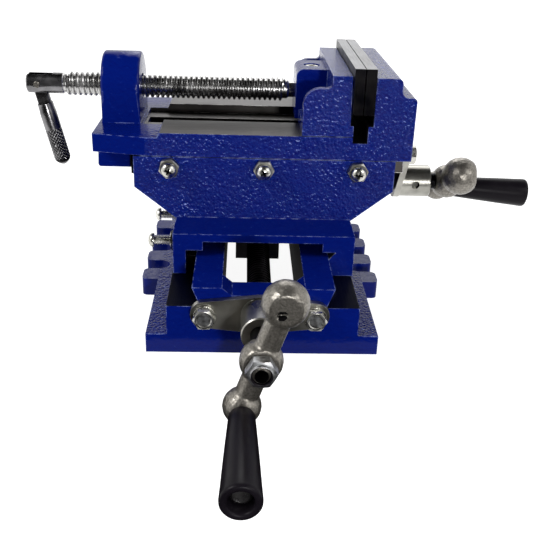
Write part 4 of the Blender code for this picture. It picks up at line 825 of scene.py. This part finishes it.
def head_rule(spot, facing):
    """The jaw screw's head is darker steel, and the slot in it for the handle is black inside: painted shade.
    """
    x, y, z = spot / MM
    if x >= HEAD_END:
        return 0
    return 1 if abs(y) < 2.75 and (abs(facing.y) > 0.9 or facing.x < -0.9) else 2


JAW_SCREW_HEIGHT = 0.1135
HEAD_END = -118.0
jaw_thread = [(0.0068, 0.0054, 0.003)]
lead_threads = [(0.0067, 0.0055, 0.003), (0.0040, 0.0033, 0.00125)]
threaded("vise_screw", (0, 0, JAW_SCREW_HEIGHT), (1, 0, 0), jaw_thread, [steel, black_oxide, darker_steel],
         head_rule)
threaded("front_lead_screw", (-0.0017, 0, 0.024), (0, 1, 0), lead_threads, [black_oxide])
threaded("side_lead_screw", (0, 0, 0.0588), (1, 0, 0), lead_threads, [black_oxide])

# %% [markdown]
# The gib screws push the gibs against the slides. Each is a pan head machine screw with a cross recess,
# locked by a thin nut. The recess is cut with a Boolean, because four tapered slots meeting in a pit are
# awkward to build by hand, and its inside is painted black as painted shade. The three heads in a row stand
# at three different angles.

# %% Gib screws and lock nuts
RECESS_SPAN, RECESS_ARM, RECESS_DEPTH = 0.0044, 0.0011, 0.0016
NUT_FLATS, NUT_HEIGHT, NUT_HOLE, NUT_STEPS = 0.010, 0.004, 0.00275, 60


def carve(mesh, cutter_bm):
    """Cut one mesh out of another and return the result."""
    cutter = bpy.data.objects.new("cutter", bake(cutter_bm, "cutter"))
    target = bpy.data.objects.new("target", mesh)
    for helper in (cutter, target):
        scene.collection.objects.link(helper)
    cut = target.modifiers.new("cut", "BOOLEAN")
    cut.operation = "DIFFERENCE"
    cut.solver = "EXACT"
    cut.object = cutter
    ready = target.evaluated_get(bpy.context.evaluated_depsgraph_get())
    carved = bpy.data.meshes.new_from_object(ready)
    for helper in (cutter, target):
        bpy.data.objects.remove(helper)
    return carved


def add_cross(bm, matrix, span, arm, deep):
    """A tapered plus sign, wide at the mouth and narrow at the bottom."""
    corners = []
    for turn in range(4):
        spin = Matrix.Rotation(turn * math.pi / 2, 2)
        corners += [spin @ Vector((arm / 2, arm / 2)), spin @ Vector((arm / 2, span / 2))]
        corners += [spin @ Vector((-arm / 2, span / 2))]
    rings = []
    for along, size in ((-0.001, 1.15), (0.0, 1.0), (deep, 0.5)):
        rings.append([bm.verts.new(matrix @ Vector((c.x * size, c.y * size, along))) for c in corners])
    for first, second in zip(rings, rings[1:]):
        for index in range(len(corners)):
            after = (index + 1) % len(corners)
            bm.faces.new((first[index], first[after], second[after], second[index]))
    bm.faces.new(rings[0])
    bm.faces.new(rings[-1])


PAN_HEAD = ((0.0, 0.0), (0.00006, 0.0009), (0.00032, 0.0020), (0.00080, 0.0030), (0.00145, 0.00370),
            (0.0022, 0.00402), (0.0030, 0.0041), (0.0034, 0.0040), (0.0034, 0.0022))


def gib_screw(node, head_point, inward, length, spin):
    """Pan head screw standing out of a casting."""
    matrix = aim(head_point, inward) @ Matrix.Rotation(spin, 4, "Z")
    bm = bmesh.new()
    add_turned(bm, matrix, list(PAN_HEAD) + [(length - 0.0006, 0.0021), (length, 0.0016)], 40)
    mesh = bake(bm, node)
    cutter = bmesh.new()
    add_cross(cutter, matrix @ Matrix.Translation((0, 0, 0.0001)), RECESS_SPAN, RECESS_ARM, RECESS_DEPTH)
    carved = carve(mesh, cutter)
    bm = bmesh.new()
    bm.from_mesh(carved)
    add_thread(bm, matrix, 0.0036, length - 0.0008, 0.0021, 0.0027, 0.0010, 24)
    mesh = bake(bm, node)
    to_screw = matrix.inverted()

    def recess_rule(spot, facing):
        """Faces well under the head's dome, but above its underside, are in the recess, painted black as shade.
        """
        inside = to_screw @ spot
        off = math.hypot(inside.x, inside.y) / MM
        return 1 if off < 2.5 and 0.0001 + 0.00008 * off * off < inside.z < 0.0024 else 0

    paint_faces(mesh, recess_rule)
    hand_over(node, mesh, [zinc, recess_shade_black], 30)


def lock_nut(node, spot, outward, phase):
    """Thin hexagon nut with a chamfer on both faces and at its hole."""
    matrix = aim(spot, outward) @ Matrix.Rotation(phase, 4, "Z")
    rim, bore, height = NUT_FLATS / 2 * 0.97, NUT_HOLE + 0.0004, NUT_HEIGHT
    bm = bmesh.new()
    rings = [fixed(0.0004, NUT_HOLE), fixed(0.0, bore), fixed(0.0, rim), hex_ring(NUT_FLATS, 0.0, 0.55)]
    rings += [hex_ring(NUT_FLATS, height, -0.55), fixed(height, rim), fixed(height, bore)]
    rings += [fixed(height - 0.0004, NUT_HOLE)]
    add_rings(bm, matrix, rings, NUT_STEPS, hollow=True)
    hand_over(node, bake(bm, node), [satin_zinc], 24)


for index, (spin, phase) in enumerate(((0.4, 0.25), (1.1, 0.0), (0.15, 0.1))):
    low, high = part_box(f"upper_gib_screw_{index + 1}")
    middle = (low + high) / 2
    gib_screw(f"upper_gib_screw_{index + 1}", (middle.x, low.y, middle.z), (0, 1, 0), high.y - low.y, spin)
    low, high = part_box(f"upper_gib_nut_{index + 1}")
    middle = (low + high) / 2
    lock_nut(f"upper_gib_nut_{index + 1}", (middle.x, high.y, middle.z), (0, -1, 0), phase)
    low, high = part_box(f"lower_gib_screw_{index + 1}")
    middle = (low + high) / 2
    gib_screw(f"lower_gib_screw_{index + 1}", (low.x, middle.y, middle.z), (1, 0, 0), high.x - low.x, spin)
    low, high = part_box(f"lower_gib_nut_{index + 1}")
    middle = (low + high) / 2
    lock_nut(f"lower_gib_nut_{index + 1}", (high.x, middle.y, middle.z), (-1, 0, 0), 0.0)
print("gib screws and nuts: 12")

# %% [markdown]
# The brackets are held by hexagon head bolts. A forged head has a chamfered top with a shallow dish in it.

# %% Bracket bolts
BOLT_FLATS, BOLT_HEAD, BOLT_SHANK = 0.010, 0.004, 0.0030


def hex_bolt(node, seat, inward, length):
    """Hexagon head bolt: seat is the underside of its head."""
    bm = bmesh.new()
    matrix = aim(seat, inward)
    rings = [fixed(-0.00375, 0.0), fixed(-0.00375, 0.0034)]
    rings += [fixed(-BOLT_HEAD, 0.0038), fixed(-BOLT_HEAD, 0.0046)]
    rings += [hex_ring(BOLT_FLATS, -0.0039, 0.6), hex_ring(BOLT_FLATS, -0.0001, 0.0)]
    rings += [fixed(0.0, BOLT_SHANK), fixed(length - 0.0006, BOLT_SHANK), fixed(length, 0.0025)]
    add_rings(bm, matrix, rings, NUT_STEPS)
    mesh = bake(bm, node)
    paint_faces(mesh, lambda spot, facing: 1 if facing.dot(Vector(inward)) < -0.95 else 0)
    hand_over(node, mesh, [zinc, forged_zinc], 24)


for node in ("front_bracket_bolt_1", "front_bracket_bolt_2"):
    low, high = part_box(node)
    middle = (low + high) / 2
    hex_bolt(node, (middle.x, low.y + BOLT_HEAD, middle.z), (0, 1, 0), high.y - low.y - BOLT_HEAD)
for node in ("side_bracket_bolt_1", "side_bracket_bolt_2"):
    low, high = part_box(node)
    middle = (low + high) / 2
    hex_bolt(node, (high.x - BOLT_HEAD, middle.y, middle.z), (-1, 0, 0), high.x - low.x - BOLT_HEAD)
print("bolts: 4")

# %% [markdown]
# Each crank is one casting of three balls on a bar. Where ball meets bar the real one has a soft fillet, so
# a copy of the solid goes through a voxel Remesh and a little smoothing, which melts the joints together.
# The flat on the weight ball has a small pit left by the casting.

# %% Cranks
PIT_RADIUS, PIT_DEPTH = 0.0025, 0.0017


def melted(node, pit, outward):
    """A casting's copy with soft joints and one ragged pit in its flat."""
    piece = bpy.data.objects.new("raw", bake(solid_copy(node), node))
    scene.collection.objects.link(piece)
    remesh = piece.modifiers.new("voxels", "REMESH")
    remesh.mode = "VOXEL"
    remesh.voxel_size = 0.0005
    smooth = piece.modifiers.new("soften", "SMOOTH")
    smooth.factor = 0.5
    smooth.iterations = 5
    ready = piece.evaluated_get(bpy.context.evaluated_depsgraph_get())
    mesh = bpy.data.meshes.new_from_object(ready)
    bpy.data.objects.remove(piece)
    for vert in mesh.vertices:
        offset = vert.co - Vector(pit)
        ragged = 1 + 0.16 * math.sin(5 * math.atan2(offset.z, offset.x + offset.y) + 0.7)
        near = Vector((offset.x, offset.y, offset.z * 1.6)).length / (PIT_RADIUS * ragged)
        if near < 1.0:
            vert.co -= Vector(outward) * PIT_DEPTH * (1 - near ** 4)
    mesh.update()

    def pit_rule(spot, facing):
        """The pit's bottom is painted black, as shade."""
        offset = spot - Vector(pit)
        return 1 if offset.length < 0.0026 and offset.dot(Vector(outward)) < -0.0005 else 0

    paint_faces(mesh, pit_rule)
    hand_over(node, mesh, [crank_iron, recess_shade_black], 60)


melted("front_crank", (0.0066, -0.1688, 0.0511), (0, -1, 0))
melted("side_crank", (0.1246, -0.0260, 0.0740), (1, 0, 0))
print("cranks: front and side")

# %% [markdown]
# A nut with a nylon ring holds each crank on its screw. Its top carries a round collar with the black ring
# inside, and the screw's threaded tip fills the bore.

# %% Crank nuts
CRANK_NUT_FLATS, TIP_ROOT, TIP_CREST, TIP_END = 0.013, 0.0036, 0.0042, 0.0072


def crank_nut(node, face, outward):
    """Locking nut: hexagon, rounded collar, nylon ring and the screw's tip."""
    bm = bmesh.new()
    rings = [fixed(0.0, 0.0044), fixed(0.0, 0.0062), hex_ring(CRANK_NUT_FLATS, 0.0001, 0.55)]
    rings += [hex_ring(CRANK_NUT_FLATS, 0.0062, -0.55), fixed(0.0062, 0.0061), fixed(0.0063, 0.0055)]
    rings += [fixed(0.0072, 0.0054), fixed(0.0076, 0.0052), fixed(0.0077, 0.0050), fixed(0.0074, 0.0048)]
    rings += [fixed(0.0072, 0.0044)]
    matrix = aim(face, outward)
    add_rings(bm, matrix, rings, NUT_STEPS, hollow=True)
    add_turned(bm, matrix, [(TIP_END, 0.0), (TIP_END, 0.0030), (0.0066, TIP_ROOT), (0.0, TIP_ROOT)], 40)
    add_thread(bm, matrix, 0.0002, TIP_END, TIP_ROOT, TIP_CREST, 0.00125, TURN_STEPS)
    mesh = bake(bm, node)
    line, start = Vector(outward), Vector(face)

    def nut_rule(spot, facing):
        """Plated nut outside, nylon in a narrow ring, the screw's tip in the middle."""
        along = (spot - start).dot(line)
        off = (spot - start - line * along).length
        if off > 0.0049 or along < 0.001:
            return 0
        return 1 if off > 0.0043 else 2

    paint_faces(mesh, nut_rule)
    hand_over(node, mesh, [forged_zinc, plastic, crank_iron], 24)


low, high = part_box("front_crank_nut")
middle = (low + high) / 2
crank_nut("front_crank_nut", (middle.x, high.y, middle.z), (0, -1, 0))
low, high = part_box("side_crank_nut")
middle = (low + high) / 2
crank_nut("side_crank_nut", (low.x, middle.y, middle.z), (1, 0, 0))
print("crank nuts: 2")

# %% [markdown]
# The grips taper towards the crank and turn on a headed spindle that sits deep in their hollow end.

# %% Grips
GRIP_START, NARROW_END, TAPER = 0.00895, 0.0063, 0.0026


def grip(node, centre, outward, length):
    """Tapered hollow grip with rounded rims."""
    start, end = GRIP_START, GRIP_START + length
    outer = [(start, 0.0045), (start, 0.0054), (start + 0.0003, 0.0059), (start + 0.0010, NARROW_END)]
    for step in range(1, 8):
        share = step / 8
        swell = 0.00012 * math.sin(math.pi * share)
        outer.append((start + 0.001 + (length - 0.0035) * share, NARROW_END + TAPER * share + swell))
    outer += [(end - 0.0022, 0.0090), (end - 0.0010, 0.0089), (end - 0.0003, 0.0085), (end, 0.0079)]
    inner = [(end, 0.0066), (end - 0.0004, 0.0059), (end - 0.0012, 0.0056), (end - 0.008, 0.0056)]
    inner += [(end - 0.008, 0.0034), (start + 0.0006, 0.0034)]
    bm = bmesh.new()
    add_turned(bm, aim(centre, outward), outer + inner, 56, hollow=True)
    hand_over(node, bake(bm, node), [plastic], 40)


joint_at = {joint["child"]: joint for joint in frame["joints"]}
for node, length in (("front_grip", 0.0585), ("side_grip", 0.0500)):
    joint = joint_at[node]
    grip(node, joint["pos_m"], joint["axis"], length)
print("grips: 2")

# %% [markdown]
# The folding handle is plain near its pin and knurled at its free end. Real knurling is rolled in, so
# here it is real geometry too: a fine sleeve whose radius follows two crossing sets of grooves. The flat
# tongue by the pin is kept from the solid; the rest is new rings.

# %% Folding handle
SHOULDER, SHAFT_RADIUS = 0.0118, 0.00485
KNURL_START, ROW_STEP, KNURL_RISE, KNURL_DEPTH = 0.0282, 0.00026, 0.0022, 0.00048
KNURLS, ROWS, STEPS_PER_KNURL = 14, 68, 6
pivot = Vector((-0.1312, 0.0, JAW_SCREW_HEIGHT))
lean = math.radians(13.0)
hang = Vector((math.sin(lean), 0.0, -math.cos(lean)))
bm = solid_copy("swing_handle")
everything = bm.verts[:] + bm.edges[:] + bm.faces[:]
bmesh.ops.bisect_plane(bm, geom=everything, plane_co=pivot + hang * SHOULDER, plane_no=hang, clear_outer=True)
bmesh.ops.holes_fill(bm, edges=[edge for edge in bm.edges if edge.is_boundary])


def knurl_ring(along, base):
    """A ring crossed by two sets of slanting grooves."""
    def ring(angle):
        share = angle / (2 * math.pi) * KNURLS
        rise = along / KNURL_RISE
        ridge = min(abs(2 * ((share + rise) % 1) - 1), abs(2 * ((share - rise) % 1) - 1))
        return along, base + KNURL_DEPTH * min(1.0, ridge * 1.4)
    return ring


shaft = [fixed(SHOULDER, 0.0), fixed(SHOULDER, 0.0041), fixed(0.0122, 0.0045), fixed(0.0155, 0.0046)]
shaft += [fixed(0.0168, 0.00475), fixed(0.0178, SHAFT_RADIUS), fixed(0.0277, SHAFT_RADIUS)]
shaft += [fixed(0.0280, 0.0045)]
shaft += [knurl_ring(KNURL_START + ROW_STEP * row, 0.00437) for row in range(ROWS)]
shaft += [knurl_ring(0.0461, 0.0043), knurl_ring(0.0473, 0.0037), fixed(0.0484, 0.0031)]
shaft += [fixed(0.0494, 0.0019), fixed(0.0499, 0.0008), fixed(0.0500, 0.0)]
add_rings(bm, aim(pivot, hang), shaft, KNURLS * STEPS_PER_KNURL)
mesh = bake(bm, "swing_handle")


def handle_rule(spot, facing):
    """Steel, but black at the shoulder by the pin and in the knurl's grooves: painted shade."""
    reach = (spot - pivot).dot(hang)
    grooved = KNURL_START < reach < 0.0480 and (spot - pivot - hang * reach).length < 0.00456
    return 1 if 0.0115 < reach < 0.0121 or grooved else 0


paint_faces(mesh, handle_rule)
hand_over("swing_handle", mesh, [darker_steel, black_oxide], 40)
bm = bmesh.new()
pin = [(-0.00595, 0.0), (-0.00605, 0.0008), (-0.0060, 0.0015), (-0.0057, 0.0018), (0.0057, 0.0018)]
add_turned(bm, aim(pivot, (0, 1, 0)), pin + [(0.0060, 0.0015), (0.00605, 0.0008), (0.00595, 0.0)], 32)
hand_over("handle_pin", bake(bm, "handle_pin"), [crank_iron], 40)
print("knurl rows:", ROWS)
